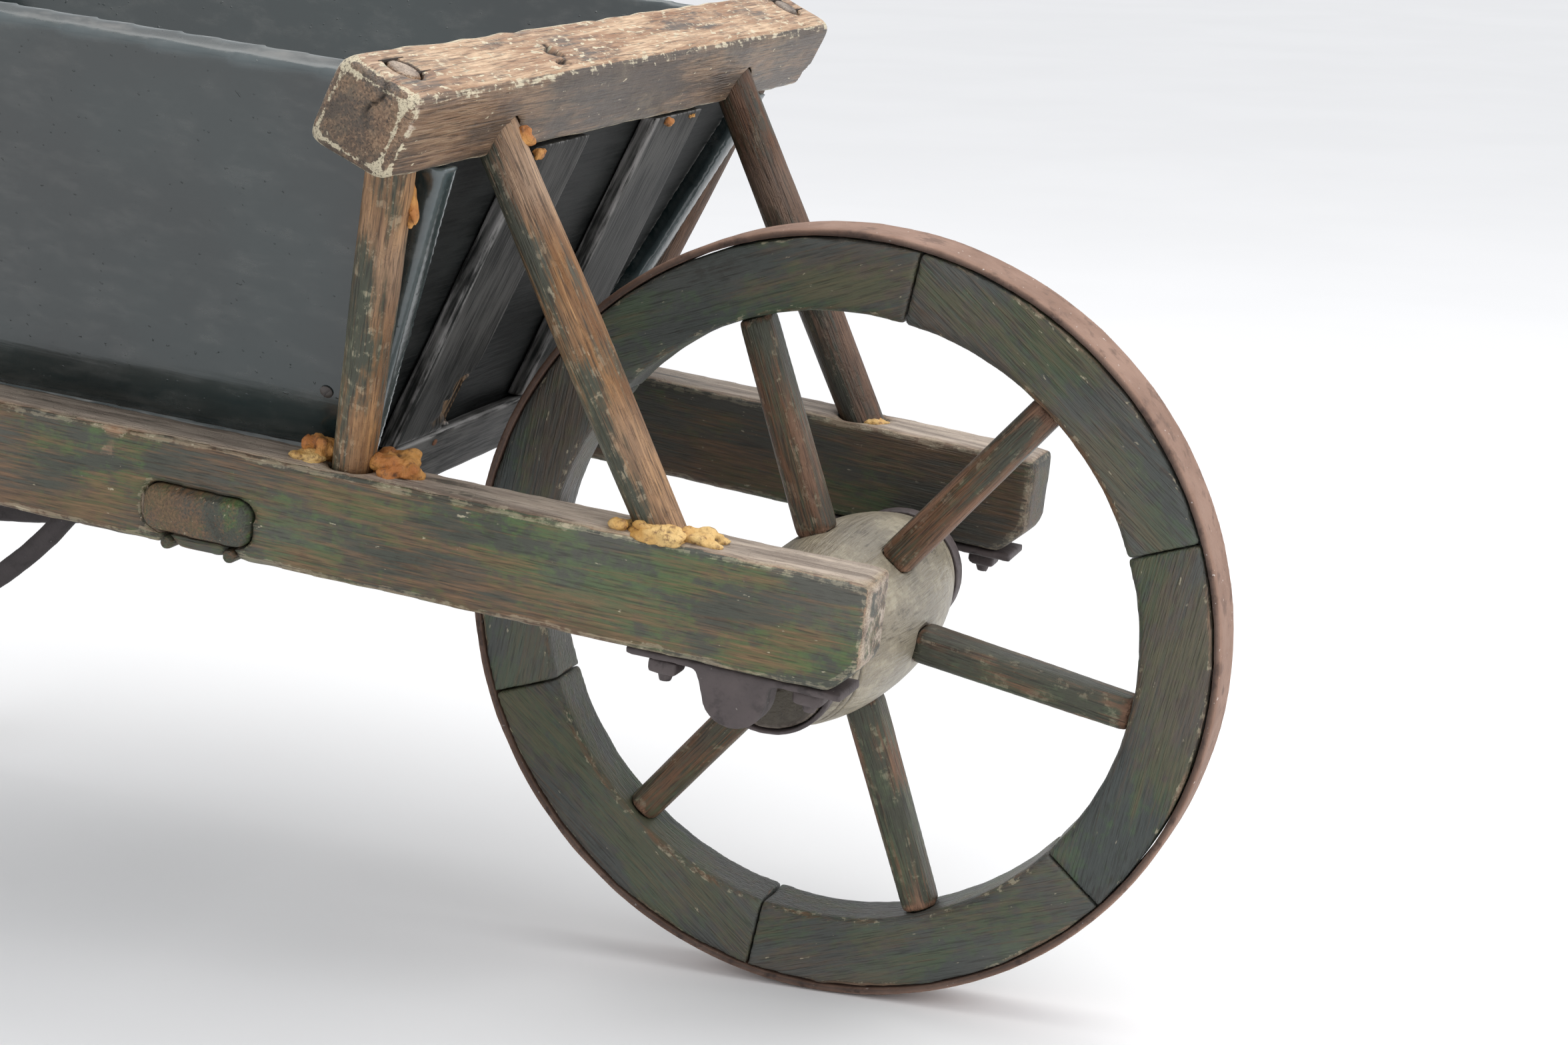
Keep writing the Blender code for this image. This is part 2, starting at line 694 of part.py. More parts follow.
def build_bearers(materials, parent):
    for name, x in BEARER_PLACES.items():
        place_object(f"cross_bearer_{name}", bearer_mesh(x), materials["green_wood"], parent=parent)
    for name, side in SIDES.items():
        for end, x in peg_places().items():
            place_object(f"bearer_peg_{end}_{name}", peg_mesh(side, x), materials["worn_wood"],
                         parent=parent)


# ---------------------------------------------------------------- head rail and spindles


def rail_mesh(grow=0.0):
    return moved(timber_mesh(RAIL_LENGTH / 2, RAIL_SIDE, RAIL_SIDE, RAIL_ARRIS, RAIL_END_ARRIS, grow),
                 rail_frame())


def spindle_mesh(end, side, grow=0.0):
    """A round spindle where it stands, housed in the shaft below and in the rail above."""
    foot_x, head, radius = SPINDLES[end]
    foot = shaft_point(side, foot_x)
    head = Vector((head[0], side * head[1], WHEEL_RADIUS + head[2]))
    length = (head - foot).length
    profile = [(radius * SPINDLE_FOOT_SCALE, -SPINDLE_SOCKET - grow), (radius, length / 2)]
    if end == "front":
        profile.append((radius * SPINDLE_FOOT_SCALE, length + FRONT_SPINDLE_HEAD_LENGTH + grow))
    else:
        shoulder = length - REAR_SHOULDER + grow
        profile += [
            (radius, shoulder), (REAR_TENON_RADIUS, shoulder), (REAR_TENON_RADIUS, length + RAIL_SIDE),
        ]
    profile = [(size + grow, along) for size, along in profile]
    return moved(turned(profile, ROUND), between(foot, head))


def build_rail(materials, parent):
    wood = materials["worn_wood"]
    tools = [spindle_mesh(end, side, GAP) for end in SPINDLES for side in SIDES.values()]
    place_object("head_rail", carve(rail_mesh(), tools), wood, parent=parent)
    over_rail = block((3 * RAIL_SIDE, RAIL_LENGTH, RAIL_SIDE), (0, 0, RAIL_SIDE - TENON_SET_BACK))
    over_rail = moved(over_rail, rail_frame())
    for name, side in SIDES.items():
        place_object(f"spindle_front_{name}", spindle_mesh("front", side), wood, parent=parent)
        rear = carve(spindle_mesh("rear", side), [over_rail])
        place_object(f"spindle_rear_{name}", rear, wood, parent=parent)


# ---------------------------------------------------------------- tray


def panel_mesh(side):
    """A flared side panel standing on its shaft, cut away round the rail."""
    ahead, over = RAIL_CENTRE
    in_rail = WHEEL_RADIUS + over - RAIL_SIDE / 2
    back_x = TRAY_BACK - PANEL_HEIGHT * tan(TAIL_LEAN)
    front_foot = sloped_x(RAIL_SIDE, shaft_top(REAR_SPINDLE_FOOT))
    outline = [(sloped_x(RAIL_SIDE, in_rail), in_rail)]
    outline += [(x, shaft_top(x) + 2 * GAP) for x in (front_foot, TRAY_BACK)]
    outline += [(x, shaft_top(x) + PANEL_HEIGHT) for x in (back_x, ahead)]
    outside = [Vector((x, panel_half_width(x, z), z)) for x, z in outline]
    level = Vector((0, -BOARD / cos(FLARE), 0))
    square = Vector((0, -BOARD * cos(FLARE), BOARD * sin(FLARE)))
    inside = [point + inward for point, inward in zip(outside, (level, level, level, square, square))]
    mesh = moved(loft([outside, inside]), Matrix.Diagonal((1, side, 1, 1)))
    if side < 0:
        mesh.flip_normals()
    return carve(ease(mesh, BOARD_ARRIS), [rail_mesh(GAP)])


def inner_half_width(x, z):
    """Half the width between the panels' inner faces, which the front and tail boards fill."""
    return panel_half_width(x, z) - BOARD / cos(FLARE) - 2 * GAP


def front_slab(depth, thickness, outline):
    """A board in the front board's slope. The outline gives (y, z), and depth is from the rail's back."""
    return loft([[(sloped_x(d, z), y, z) for y, z in outline] for d in (depth, depth + thickness)])


def front_board_mesh():
    """Splayed between the panels, straight between the shafts."""
    knee = shaft_top(sloped_x(FRONT_BOARD_SETBACK, WHEEL_RADIUS + TOE_TOP)) + 2 * GAP
    rings = []
    for depth in (FRONT_BOARD_SETBACK - BOARD, FRONT_BOARD_SETBACK):
        foot_half = inner_half_width(sloped_x(depth, knee), knee)
        head_z = WHEEL_RADIUS + RAIL_CENTRE[1]
        head_half = inner_half_width(sloped_x(depth, head_z), head_z)
        levels = ((WHEEL_RADIUS + TOE_BOTTOM, foot_half), (knee, foot_half), (head_z, head_half))
        ring = [(sloped_x(depth, z), -half, z) for z, half in levels]
        ring += [(sloped_x(depth, z), half, z) for z, half in reversed(levels)]
        rings.append(ring)
    return loft(rings)


def build_front(materials, parent):
    """The front board, with two battens and a toe board nailed on its outer face."""
    paint = materials["tray_paint"]
    under_rail = [rail_mesh(GAP), *(spindle_mesh("front", side, GAP) for side in SIDES.values())]
    board = carve(front_board_mesh(), [*under_rail, bearer_mesh(BEARER_PLACES["front"], GAP)])
    place_object("front_board", board, paint, parent=parent)

    depth = FRONT_BOARD_SETBACK + GAP
    low, high = WHEEL_RADIUS + TOE_TOP + GAP, WHEEL_RADIUS + RAIL_CENTRE[1]
    for name, side in SIDES.items():
        inner, outer = sorted((side * BATTEN_INNER, side * BATTEN_OUTER))
        outline = ((inner, low), (outer, low), (outer, high), (inner, high))
        batten = front_slab(depth, BATTEN_THICKNESS, outline)
        place_object(f"front_batten_{name}", carve(ease(batten, THIN_ARRIS), under_rail), paint,
                     parent=parent)
    low, high = WHEEL_RADIUS + TOE_BOTTOM, WHEEL_RADIUS + TOE_TOP
    toe = front_slab(depth, BATTEN_THICKNESS, (
        (-BATTEN_OUTER, low), (BATTEN_OUTER, low), (BATTEN_OUTER, high), (-BATTEN_OUTER, high),
    ))
    place_object("toe_board", ease(toe, THIN_ARRIS), paint, parent=parent)


def floor_front(drop):
    """Where the floor stops behind the front board, at a depth under the shafts' tops."""
    depth = FRONT_BOARD_SETBACK - BOARD
    x = sloped_x(depth, shaft_point(1, REAR_SPINDLE_FOOT, drop).z)
    return sloped_x(depth, shaft_point(1, x, drop).z) - FLOOR_FRONT_GAP


def build_floor(materials, parent):
    """Boards lying on the bearers, between the shafts."""
    bottom = BEARER_DROP - BEARER_THICKNESS / 2 - GAP
    top = bottom - BOARD
    back = BEARER_PLACES["rear"] - BEARER_WIDTH / 2 + FLOOR_BACK_INSET
    ends = [(floor_front(bottom), floor_front(top)), (back, back)]
    for i, name in enumerate(FLOOR_NAMES):
        rings = []
        for low_x, top_x in ends:
            half = shaft_point(1, top_x).y - shaft_width(top_x) / 2 - FLOOR_SIDE_GAP
            step = 2 * half / len(FLOOR_NAMES)
            near, far = i * step - half + GAP, (i + 1) * step - half - GAP
            low_z, top_z = shaft_point(1, low_x, bottom).z, shaft_point(1, top_x, top).z
            rings.append([
                (low_x, near, low_z), (low_x, far, low_z), (top_x, far, top_z), (top_x, near, top_z),
            ])
        board = ease(loft(rings), THIN_ARRIS)
        place_object(f"floor_board_{name}", board, materials["tray_paint"], parent=parent)


def build_tail(materials, parent):
    """The tail board, leaning back between the panels on the floor's end."""
    foot = shaft_top(TRAY_BACK) + 2 * GAP
    head_x = tail_x(0, foot + PANEL_HEIGHT)
    head = shaft_top(head_x) + PANEL_HEIGHT - TAIL_DROP
    rings = []
    for offset in (0.0, BOARD):
        ring = []
        for sign, heights in ((-1, (foot, head)), (1, (head, foot))):
            for z in heights:
                x = tail_x(offset, z)
                ring.append((x, sign * (inner_half_width(x, z) - GAP), z))
        rings.append(ring)
    board = ease(loft(rings), BOARD_ARRIS)
    place_object("tail_board", board, materials["tray_paint"], parent=parent)


# ---------------------------------------------------------------- legs and stays


def side_frame(side, x):
    """Upright, at ground level under a shaft's middle line, +X along the shaft in plan."""
    point = shaft_point(side, x, SHAFT_HEIGHT)
    return Matrix.Translation((point.x, point.y, 0)) @ Matrix.Rotation(-side * SHAFT_SPLAY, 4, "Z")


def tenon_block(grow=0.0):
    """Upright through the shaft's underside and out of its top, in the leg's own frame."""
    return block((LEG_TENON_LENGTH + 2 * grow, LEG_TENON_WIDTH + 2 * grow, 3 * SHAFT_HEIGHT),
                 (0, 0, shaft_bottom(LEG_PLACE)))


def leg_post():
    """Tapered to the foot, its top cut to the shaft's slope."""
    top = shaft_bottom(LEG_PLACE)
    foot = LEG_FOOT_SCALE
    rings = []
    for z, scale, slope in (
        (0.0, foot - 2 * LEG_ARRIS / LEG_DEPTH, 0), (LEG_ARRIS, foot, 0), (top * LEG_TAPER_TOP, 1, 0),
        (top - GAP, 1, tan(SHAFT_SLOPE)),
    ):
        half_x, half_y = LEG_DEPTH / 2 * scale, LEG_WIDTH / 2 * scale
        corners = ((half_x, half_y), (-half_x, half_y), (-half_x, -half_y), (half_x, -half_y))
        rings.append([(x, y, z - x * slope) for x, y in corners])
    return ease(loft(rings), LEG_ARRIS)


def build_leg(name, side, materials, parent):
    """A post tenoned up through its shaft."""
    frame = side_frame(side, LEG_PLACE)
    over_shaft = block((SHAFT_HEIGHT, SHAFT_HEIGHT, SHAFT_HEIGHT), (0, 0, SHAFT_HEIGHT / 2 - TENON_SET_BACK))
    over_shaft = moved(over_shaft, Matrix.Translation(shaft_point(side, LEG_PLACE))
                       @ shaft_frame(side).to_3x3().to_4x4())
    bolt = moved(stay_bolt_mesh(GAP), stay_bolt_frame(side))
    leg = carve(unite(leg_post(), tenon_block()), [over_shaft, bolt], frame)
    place_object(f"leg_{name}", leg, materials["green_wood"], frame, parent)


def palm_face():
    """The x of the leg's front face, where a stay's flat end lies."""
    return LEG_PLACE + LEG_DEPTH / 2 + GAP


def stay_line():
    """The stay's middle line in the plane of its shaft: x along the shaft in plan, z up."""
    start = Vector((STAY_FRONT, 0, shaft_bottom(STAY_FRONT)))
    drop = Vector((-cos(STAY_DROP_ANGLE), 0, -sin(STAY_DROP_ANGLE)))
    end = Vector((palm_face() + STAY_PALM_THICKNESS / 2, 0, STAY_HEIGHT))
    curve = (start, start + drop * STAY_LEAD, end + Vector((STAY_TAIL, 0, 0)), end)
    line = [start - drop * STAY_SOCKET]
    for i in range(STAY_STEPS + 1):
        t = i / STAY_STEPS
        weights = ((1 - t) ** 3, 3 * t * (1 - t) ** 2, 3 * t ** 2 * (1 - t), t ** 3)
        line.append(sum((point * weight for point, weight in zip(curve, weights)), Vector((0, 0, 0))))
    return line


def stay_rings(radius):
    """The bar's rings, each square to the middle line."""
    points = stay_line()
    sideways = Vector((0, 1, 0))
    rings = []
    for i, point in enumerate(points):
        before, after = points[max(i - 1, 0)], points[min(i + 1, len(points) - 1)]
        up = sideways.cross((after - before).normalized())
        angles = [2 * pi * k / STAY_SIDES for k in range(STAY_SIDES)]
        rings.append([point + (up * cos(a) + sideways * sin(a)) * radius for a in angles])
    return rings


def stay_frame(side):
    """Turns the stay's own plane into its shaft's plane."""
    return side_frame(side, STAY_FRONT) @ Matrix.Translation((-STAY_FRONT, 0, 0))


def stay_socket(side):
    """The hole in the shaft's underside that the stay's front end is driven into."""
    rings = stay_rings(STAY_RADIUS + GAP)[:3]
    start, second = stay_line()[:2]
    beyond = (start - second).normalized() * GAP
    rings[0] = [point + beyond for point in rings[0]]
    return moved(loft(rings), stay_frame(side))


def build_stay(name, side, materials, parent):
    """A round bar, its rear end flattened down the leg's face and bolted there."""
    rings = stay_rings(STAY_RADIUS)
    middle = palm_face() + STAY_PALM_THICKNESS / 2
    rings[-1] = [Vector((middle, point.y, point.z)) for point in rings[-1]]
    palm = block((STAY_PALM_THICKNESS, STAY_PALM_WIDTH, STAY_PALM_LENGTH),
                 (middle, 0, STAY_HEIGHT - STAY_PALM_LENGTH / 2 + PALM_ABOVE_BAR), PALM_ARRIS)
    frame = stay_frame(side)
    bolt = moved(stay_bolt_mesh(GAP), stay_bolt_frame(side))
    stay = carve(unite(loft(rings), palm), [bolt], frame)
    place_object(f"leg_stay_{name}", stay, materials["dark_iron"], frame, parent)
    place_object(f"stay_bolt_{name}", stay_bolt_mesh(), materials["dark_iron"], stay_bolt_frame(side),
                 parent)


def stay_bolt_frame(side):
    """On the palm's front face, its Y axis pointing forwards."""
    seat = Vector((palm_face() + STAY_PALM_THICKNESS + GAP, 0, STAY_HEIGHT - STAY_BOLT_DROP))
    return stay_frame(side) @ Matrix.Translation(seat) @ Matrix.Rotation(-pi / 2, 4, "Z")


def stay_bolt_mesh(grow=0.0):
    """A round-headed coach bolt through the palm into the leg."""
    shank, head = STAY_BOLT_RADIUS + grow, STAY_BOLT_HEAD + grow
    return turned([
        (shank, -STAY_BOLT_DEPTH - grow), (shank, -grow), (head, -grow),
        (head * 0.85, STAY_BOLT_DOME * 0.6), (head * 0.4, STAY_BOLT_DOME),
    ], ROUND)


# ---------------------------------------------------------------- assembly


def clear_scene():
    for old in list(bpy.data.objects):
        bpy.data.objects.remove(old, do_unlink=True)


def add_empty(name, location=(0, 0, 0), parent=None):
    empty = bpy.data.objects.new(name, None)
    bpy.context.scene.collection.objects.link(empty)
    empty.location = location
    empty.parent = parent
    return empty


def centre_length(root):
    """Moves the barrow along X until its length is centred on the origin."""
    bpy.context.view_layer.update()
    xs = [
        (piece.matrix_world @ vertex.co).x
        for piece in bpy.data.objects if piece.type == "MESH"
        for vertex in piece.data.vertices
    ]
    root.location.x -= (min(xs) + max(xs)) / 2


def main():
    clear_scene()
    materials = make_materials()
    barrow = add_empty("wheelbarrow")
    axis = add_empty("wheel_axis", (0, 0, WHEEL_RADIUS), barrow)
    build_wheel(materials, axis)
    build_rail(materials, barrow)
    build_bearers(materials, barrow)
    build_front(materials, barrow)
    build_floor(materials, barrow)
    build_tail(materials, barrow)
    for name, side in SIDES.items():
        build_bracket(name, side, materials, barrow)
        build_shaft(name, side, materials, barrow)
        place_object(f"side_panel_{name}", panel_mesh(side), materials["tray_paint"], parent=barrow)
        build_leg(name, side, materials, barrow)
        build_stay(name, side, materials, barrow)
    centre_length(barrow)


main()
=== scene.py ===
"""The looks of an old wooden wheelbarrow: weathered timbers, worn paint, rusted iron, putty and screws.

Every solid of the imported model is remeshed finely, rounded and dented as wear would, and given values at
each point (how worn, how bare, how grey, how dark, and where it lies along the grain) that its material
reads. Small pieces that the model leaves out are built here. Lengths are in metres.
"""

import json

import bmesh
import bpy
import numpy as np
from mathutils import Euler, Matrix, Vector

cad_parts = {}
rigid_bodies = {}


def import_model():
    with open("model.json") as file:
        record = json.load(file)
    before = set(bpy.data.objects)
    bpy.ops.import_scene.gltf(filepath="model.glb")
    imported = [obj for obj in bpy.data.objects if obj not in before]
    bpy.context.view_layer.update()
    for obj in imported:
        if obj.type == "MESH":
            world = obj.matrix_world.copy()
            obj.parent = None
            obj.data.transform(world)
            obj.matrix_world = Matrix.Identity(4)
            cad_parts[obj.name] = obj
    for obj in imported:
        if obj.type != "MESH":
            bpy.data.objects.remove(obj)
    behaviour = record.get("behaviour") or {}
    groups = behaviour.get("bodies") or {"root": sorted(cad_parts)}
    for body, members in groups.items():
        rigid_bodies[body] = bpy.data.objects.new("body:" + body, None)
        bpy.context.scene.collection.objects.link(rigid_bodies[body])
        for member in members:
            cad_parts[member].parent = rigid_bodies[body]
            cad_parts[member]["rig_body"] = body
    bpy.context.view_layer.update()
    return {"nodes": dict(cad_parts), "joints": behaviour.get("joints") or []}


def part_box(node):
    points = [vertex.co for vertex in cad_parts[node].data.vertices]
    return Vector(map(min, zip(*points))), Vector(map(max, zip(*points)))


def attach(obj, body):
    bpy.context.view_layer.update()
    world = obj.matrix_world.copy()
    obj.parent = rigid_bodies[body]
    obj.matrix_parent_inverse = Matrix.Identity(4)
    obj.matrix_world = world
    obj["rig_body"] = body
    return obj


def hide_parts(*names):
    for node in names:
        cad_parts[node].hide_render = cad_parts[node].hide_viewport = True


COARSER = 1.0

# The camera, from the middle of the axle
CAMERA_OFFSET = (0.58793, -1.77836, 0.50666)
CAMERA_LOOK = (-0.32390, 0.91727, -0.23173)
CAMERA_ROLL = 1.04  # degrees, clockwise
CAMERA_LENS = 68.66
CAMERA_SENSOR = 36

# name, place, what it points at, side, power, colour
LAMPS = (
    ("overhead", (0.5, 0.3, 3.0), (0.2, 0, 0.3), 2.6, 46, (1.0, 0.98, 0.95)),
    ("window", (3.6, -0.6, 1.9), (0.4, 0, 0.3), 2.0, 40, (0.97, 0.98, 1.0)),
)
SKY_COLOUR = (0.97, 0.98, 1.0)
SKY_STRENGTH = 0.98
FLOOR_HALF = 60

SIDES = {"right": -1, "left": 1}

# How the timbers lie
SHAFT_SLOPE = np.radians(6.5)
RAIL_LEAN = np.radians(27)
PANEL_FLARE = np.radians(24)
SHAFT_NORMALS = {
    "top": (np.sin(SHAFT_SLOPE), 0, np.cos(SHAFT_SLOPE)),
    "end": (np.cos(SHAFT_SLOPE), 0, -np.sin(SHAFT_SLOPE)),
}
RAIL_NORMALS = {
    "top": (np.sin(RAIL_LEAN), 0, np.cos(RAIL_LEAN)),
    "front": (np.cos(RAIL_LEAN), 0, -np.sin(RAIL_LEAN)),
}

# Where pieces fit into each other, on the left side, and how far round it their edges stay sharp
BEARER_TENON = (0.1835, 0.2225, 0.3385)
BEARER_TENON_REACH = 0.055
RAIL_TENON = (0.3690, 0.3075, 0.6212)
RAIL_MORTISES = (RAIL_TENON, (0.356, 0.291, 0.582), (0.375, 0.194, 0.569))
RAIL_MORTISE_REACH = 0.034
FELLOES = 6
RIM_JOINT_ANGLE = 17.5  # degrees
RIM_JOINT_RADII = (0.202, 0.225, 0.247)
RIM_JOINT_REACH = 0.022
RIM_HALF_WIDTH = 0.022

# Where wear and damage are, and the way to the window lamp for a painted highlight, in the object's own frame
# the way to the window lamp: spindle sides facing it are painted paler, a painted highlight
TOWARDS_WINDOW_LAMP = (0.85, -0.2, 0.45)
RAIL_PITS = (  # along and across the rail's top from its middle, half length, half width
    (-0.127, 0.005, 0.0065, 0.0040),
    (-0.121, 0.003, 0.0030, 0.0065),
    (-0.133, 0.016, 0.0065, 0.0022),
)
RAIL_PIT_DEPTH = 0.005
OUT_OF_REACH = 9  # in pit sizes
BROKEN_RAIL_END = (0.3727, 0.340, 0.5597)
BROKEN_BATTEN_CORNER = (0.285, -0.058, 0.386)
SHAFT_CHIPS = (((0.1253, -0.2213, 0.3813), 0.012), ((0.1202, -0.2215, 0.3683), 0.010))
BEARER_TENON_HALF = (0.033, 0.0125)
BEARER_TENON_DOME = 0.0035
RAIL_TOP = 0.020  # over the rail's middle
RAIL_HALF_LENGTH = 0.343
NOSE = 0.085  # the shafts' front ends, ahead of the axle
NAVE_GROOVES = (0.098, 0.106)
HOOP_EDGE = 0.123
NAVE_END = 0.136

# The smooth boards have hardly worn
SMOOTH_BOARD = {"rounding": 1, "wear_depth": 0.0002, "dents": 0.0002}

# Colours that more than one material shares
CREAM = (0.60, 0.53, 0.38)
GREY_LIGHT = (0.56, 0.49, 0.415)
GREY_DARK = (0.21, 0.175, 0.146)
# stands for dirt, and also for painted shade where the dark value is laid on
GRIME_AND_SHADE = (0.016, 0.012, 0.010)
DUST = (0.125, 0.118, 0.105)

# Old putty and foam squeezed out of the joints: name, place, half size, seed
PUTTY = (
    ("putty_rear_foot_front", (0.301, -0.189, 0.3710), (0.017, 0.014, 0.0115), 1),
    ("putty_rear_foot_front_low", (0.309, -0.198, 0.3670), (0.014, 0.011, 0.0075), 2),
    ("putty_rear_foot_back", (0.254, -0.197, 0.3770), (0.010, 0.010, 0.0125), 3),
    ("putty_front_head", (0.3880, -0.1900, 0.5740), (0.005, 0.006, 0.0065), 4),
    ("putty_rear_head", (0.3550, -0.2690, 0.5410), (0.004, 0.004, 0.0130), 5),
    ("putty_under_rail_near", (0.3720, -0.1346, 0.5575), (0.003, 0.006, 0.0035), 6),
    ("putty_under_rail_middle", (0.3725, 0.0727, 0.5580), (0.003, 0.005, 0.0035), 7),
    ("putty_under_rail_far", (0.3725, 0.1174, 0.5580), (0.003, 0.006, 0.0030), 8),
)
FOAM = (
    ("foam_front_foot_back", (0.4630, -0.1970, 0.3490), (0.015, 0.012, 0.0070), 11),
    ("foam_front_foot_near", (0.4790, -0.2050, 0.3475), (0.019, 0.006, 0.0065), 12),
    ("foam_front_foot_ahead", (0.5010, -0.1940, 0.3450), (0.017, 0.011, 0.0055), 13),
    ("foam_rear_foot_back", (0.2500, -0.2020, 0.3725), (0.013, 0.008, 0.0055), 14),
    ("foam_far_front_foot", (0.4880, 0.1780, 0.3450), (0.010, 0.008, 0.0035), 15),
)
BLOB_LUMPS = 18
BLOB_VOXEL = 0.0011

# The wedges in the tenons in the rail's top: name, (across, along) from the tenon's middle, size
WEDGES = (
    ("long", (-0.008, 0.0), (0.0016, 0.030, 0.002)),
    ("cross", (0.007, 0.012), (0.0013, 0.019, 0.002)),
)

SCREW_PLACE = (0.2604, 0.1985, 0.414)
SCREW_RADIUS = 0.0042
NAIL_LINE = (0.2700, 0.3595)
NAIL_PLACES = (-0.118, -0.072, 0.072, 0.118)  # along that line
NAIL_RADIUS = 0.0024


# ---------------------------------------------------------------- noise and fields


def lattice_noise(points, size, seed):
    """Smooth noise from -1 to 1 that changes over about this length."""
    side = 32
    table = np.random.default_rng(seed).uniform(-1, 1, (side, side, side))
    scaled = points / size
    cell = np.floor(scaled).astype(int)
    share = scaled - cell
    share = share * share * (3 - 2 * share)
    total = np.zeros(len(points))
    for corner in np.ndindex(2, 2, 2):
        weight = np.prod(np.where(np.array(corner) == 1, share, 1 - share), axis=1)
        x, y, z = ((cell + corner) % side).T
        total += weight * table[x, y, z]
    return total


def smoothstep(values, low, high):
    share = np.clip((values - low) / (high - low), 0, 1)
    return share * share * (3 - 2 * share)


def facing(normals, direction, low=0.75, high=0.95):
    """1 where a face looks along the direction, 0 where it doesn't."""
    direction = np.array(direction) / np.linalg.norm(direction)
    return smoothstep(normals @ direction, low, high)


def axle_distance(points):
    return np.hypot(points[:, 0] - axle.x, points[:, 2] - axle.z)


def box_middle(node):
    low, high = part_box(node)
    return (np.array(low) + np.array(high)) / 2


def on_side(place, sign):
    """A place of the left side (1), or the same one on the right side (-1)."""
    x, y, z = place
    return (x, sign * y, z)


def near(points, place, radius):
    """1 at the place, falling to 0 at the radius."""
    return smoothstep(-np.linalg.norm(points - np.array(place), axis=1), -radius, -radius * 0.3)


# ---------------------------------------------------------------- meshes


def new_object(name, mesh):
    piece = bpy.data.objects.new(name, mesh)
    bpy.context.scene.collection.objects.link(piece)
    return piece


def remeshed(mesh, voxel):
    """A closed mesh again, in quads of about this size."""
    helper = new_object("helper", mesh)
    modifier = helper.modifiers.new("remesh", "REMESH")
    modifier.mode = "VOXEL"
    modifier.voxel_size = voxel
    graph = bpy.context.evaluated_depsgraph_get()
    result = bpy.data.meshes.new_from_object(helper.evaluated_get(graph))
    bpy.data.objects.remove(helper)
    return result


def points_of(mesh):
    points = np.empty(len(mesh.vertices) * 3, np.float32)
    mesh.vertices.foreach_get("co", points)
    return points.reshape(-1, 3).astype(float)


def normals_of(mesh):
    normals = np.empty(len(mesh.vertices) * 3, np.float32)
    mesh.vertex_normals.foreach_get("vector", normals)
    return normals.reshape(-1, 3).astype(float)


def edges_of(mesh):
    edges = np.empty(len(mesh.edges) * 2, np.int32)
    mesh.edges.foreach_get("vertices", edges)
    return edges.reshape(-1, 2)


def relaxed(points, edges, steps):
    """The points after this many rounds of moving each halfway to the middle of its neighbours."""
    count = len(points)
    first, second = edges.T
    neighbours = np.maximum(np.bincount(edges.ravel(), minlength=count), 1)
    for _ in range(steps):
        total = np.stack([
            np.bincount(first, points[second, axis], count) + np.bincount(second, points[first, axis], count)
            for axis in range(3)
        ], axis=1)
        points = 0.5 * points + 0.5 * total / neighbours[:, None]
    return points


def grain_axes(points):
    """The long, the middle and the short direction of a cloud of points, as rows."""
    _, _, axes = np.linalg.svd(points - points.mean(axis=0), full_matrices=False)
    for axis in axes:
        if axis[np.argmax(abs(axis))] < 0:
            axis *= -1
    return axes


def add_values(mesh, name, values):
    """Keeps one number or one vector for each point, under a name that a material can read."""
    kind, field = ("FLOAT_VECTOR", "vector") if values.ndim == 2 else ("FLOAT", "value")
    attribute = mesh.attributes.new(name, kind, "POINT")
    attribute.data.foreach_set(field, values.astype(np.float32).ravel())


def set_points(mesh, points):
    mesh.vertices.foreach_set("co", points.astype(np.float32).ravel())
    mesh.update()


class Surface:
    """A piece's points while it is being weathered, and the values that its material reads."""

    def __init__(self, mesh, rounding, voxel):
        edges = edges_of(mesh)
        self.points = relaxed(points_of(mesh), edges, rounding)
        set_points(mesh, self.points)
        self.normals = normals_of(mesh)
        broad = relaxed(self.points, edges, 14)
        bulge = ((self.points - broad) * self.normals).sum(axis=1) / voxel
        self.wear = smoothstep(bulge, 0.05, 0.55)
        self.hollow = smoothstep(-bulge, 0.05, 0.5)
        self.bare = np.zeros(len(self.points))
        self.grey = np.zeros(len(self.points))
        # painted shade: points in hollows start darkened
        self.dark = 0.6 * self.hollow
        axes = grain_axes(self.points)
        self.grain = (self.points - self.points.mean(axis=0)) @ axes.T

    def push(self, distance):
        self.points = self.points + self.normals * distance[:, None]


def weather(node, material, voxel, paint, seed, rounding=2, wear_depth=0.0009, dents=0.0003, joints=()):
    """Makes the worn piece that stands for a CAD node.

    voxel is how fine its mesh is, paint the function that says how this kind of piece has worn, and seed
    its own share of the noise. Edges stay sharp at the joints, each a (place, radius).
    """
    source = frame["nodes"][node]
    voxel *= COARSER
    mesh = remeshed(source.data.copy(), voxel)
    surface = Surface(mesh, rounding, voxel)
    for place, radius in joints:
        surface.wear *= 1 - near(surface.points, place, radius)
    rough = lattice_noise(surface.points, 0.045, seed) + 0.4 * lattice_noise(surface.points, 0.012, seed + 1)
    nibbled = 0.5 + 0.5 * lattice_noise(surface.points, 0.018, seed + 2)
    surface.push(dents * (rough - 1.2) * 0.5 - wear_depth * surface.wear * nibbled)
    paint(surface)
    set_points(mesh, surface.points)
    offset = np.random.default_rng(seed).uniform(0, 9, 3)
    add_values(mesh, "grain", surface.grain + offset)
    for name in ("wear", "bare", "grey", "dark"):
        add_values(mesh, name, np.clip(getattr(surface, name), 0, 1))
    mesh.shade_smooth()
    mesh.materials.clear()
    mesh.materials.append(material)
    piece = new_object(f"worn_{node}", mesh)
    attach(piece, source["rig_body"])
    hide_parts(node)
    return piece


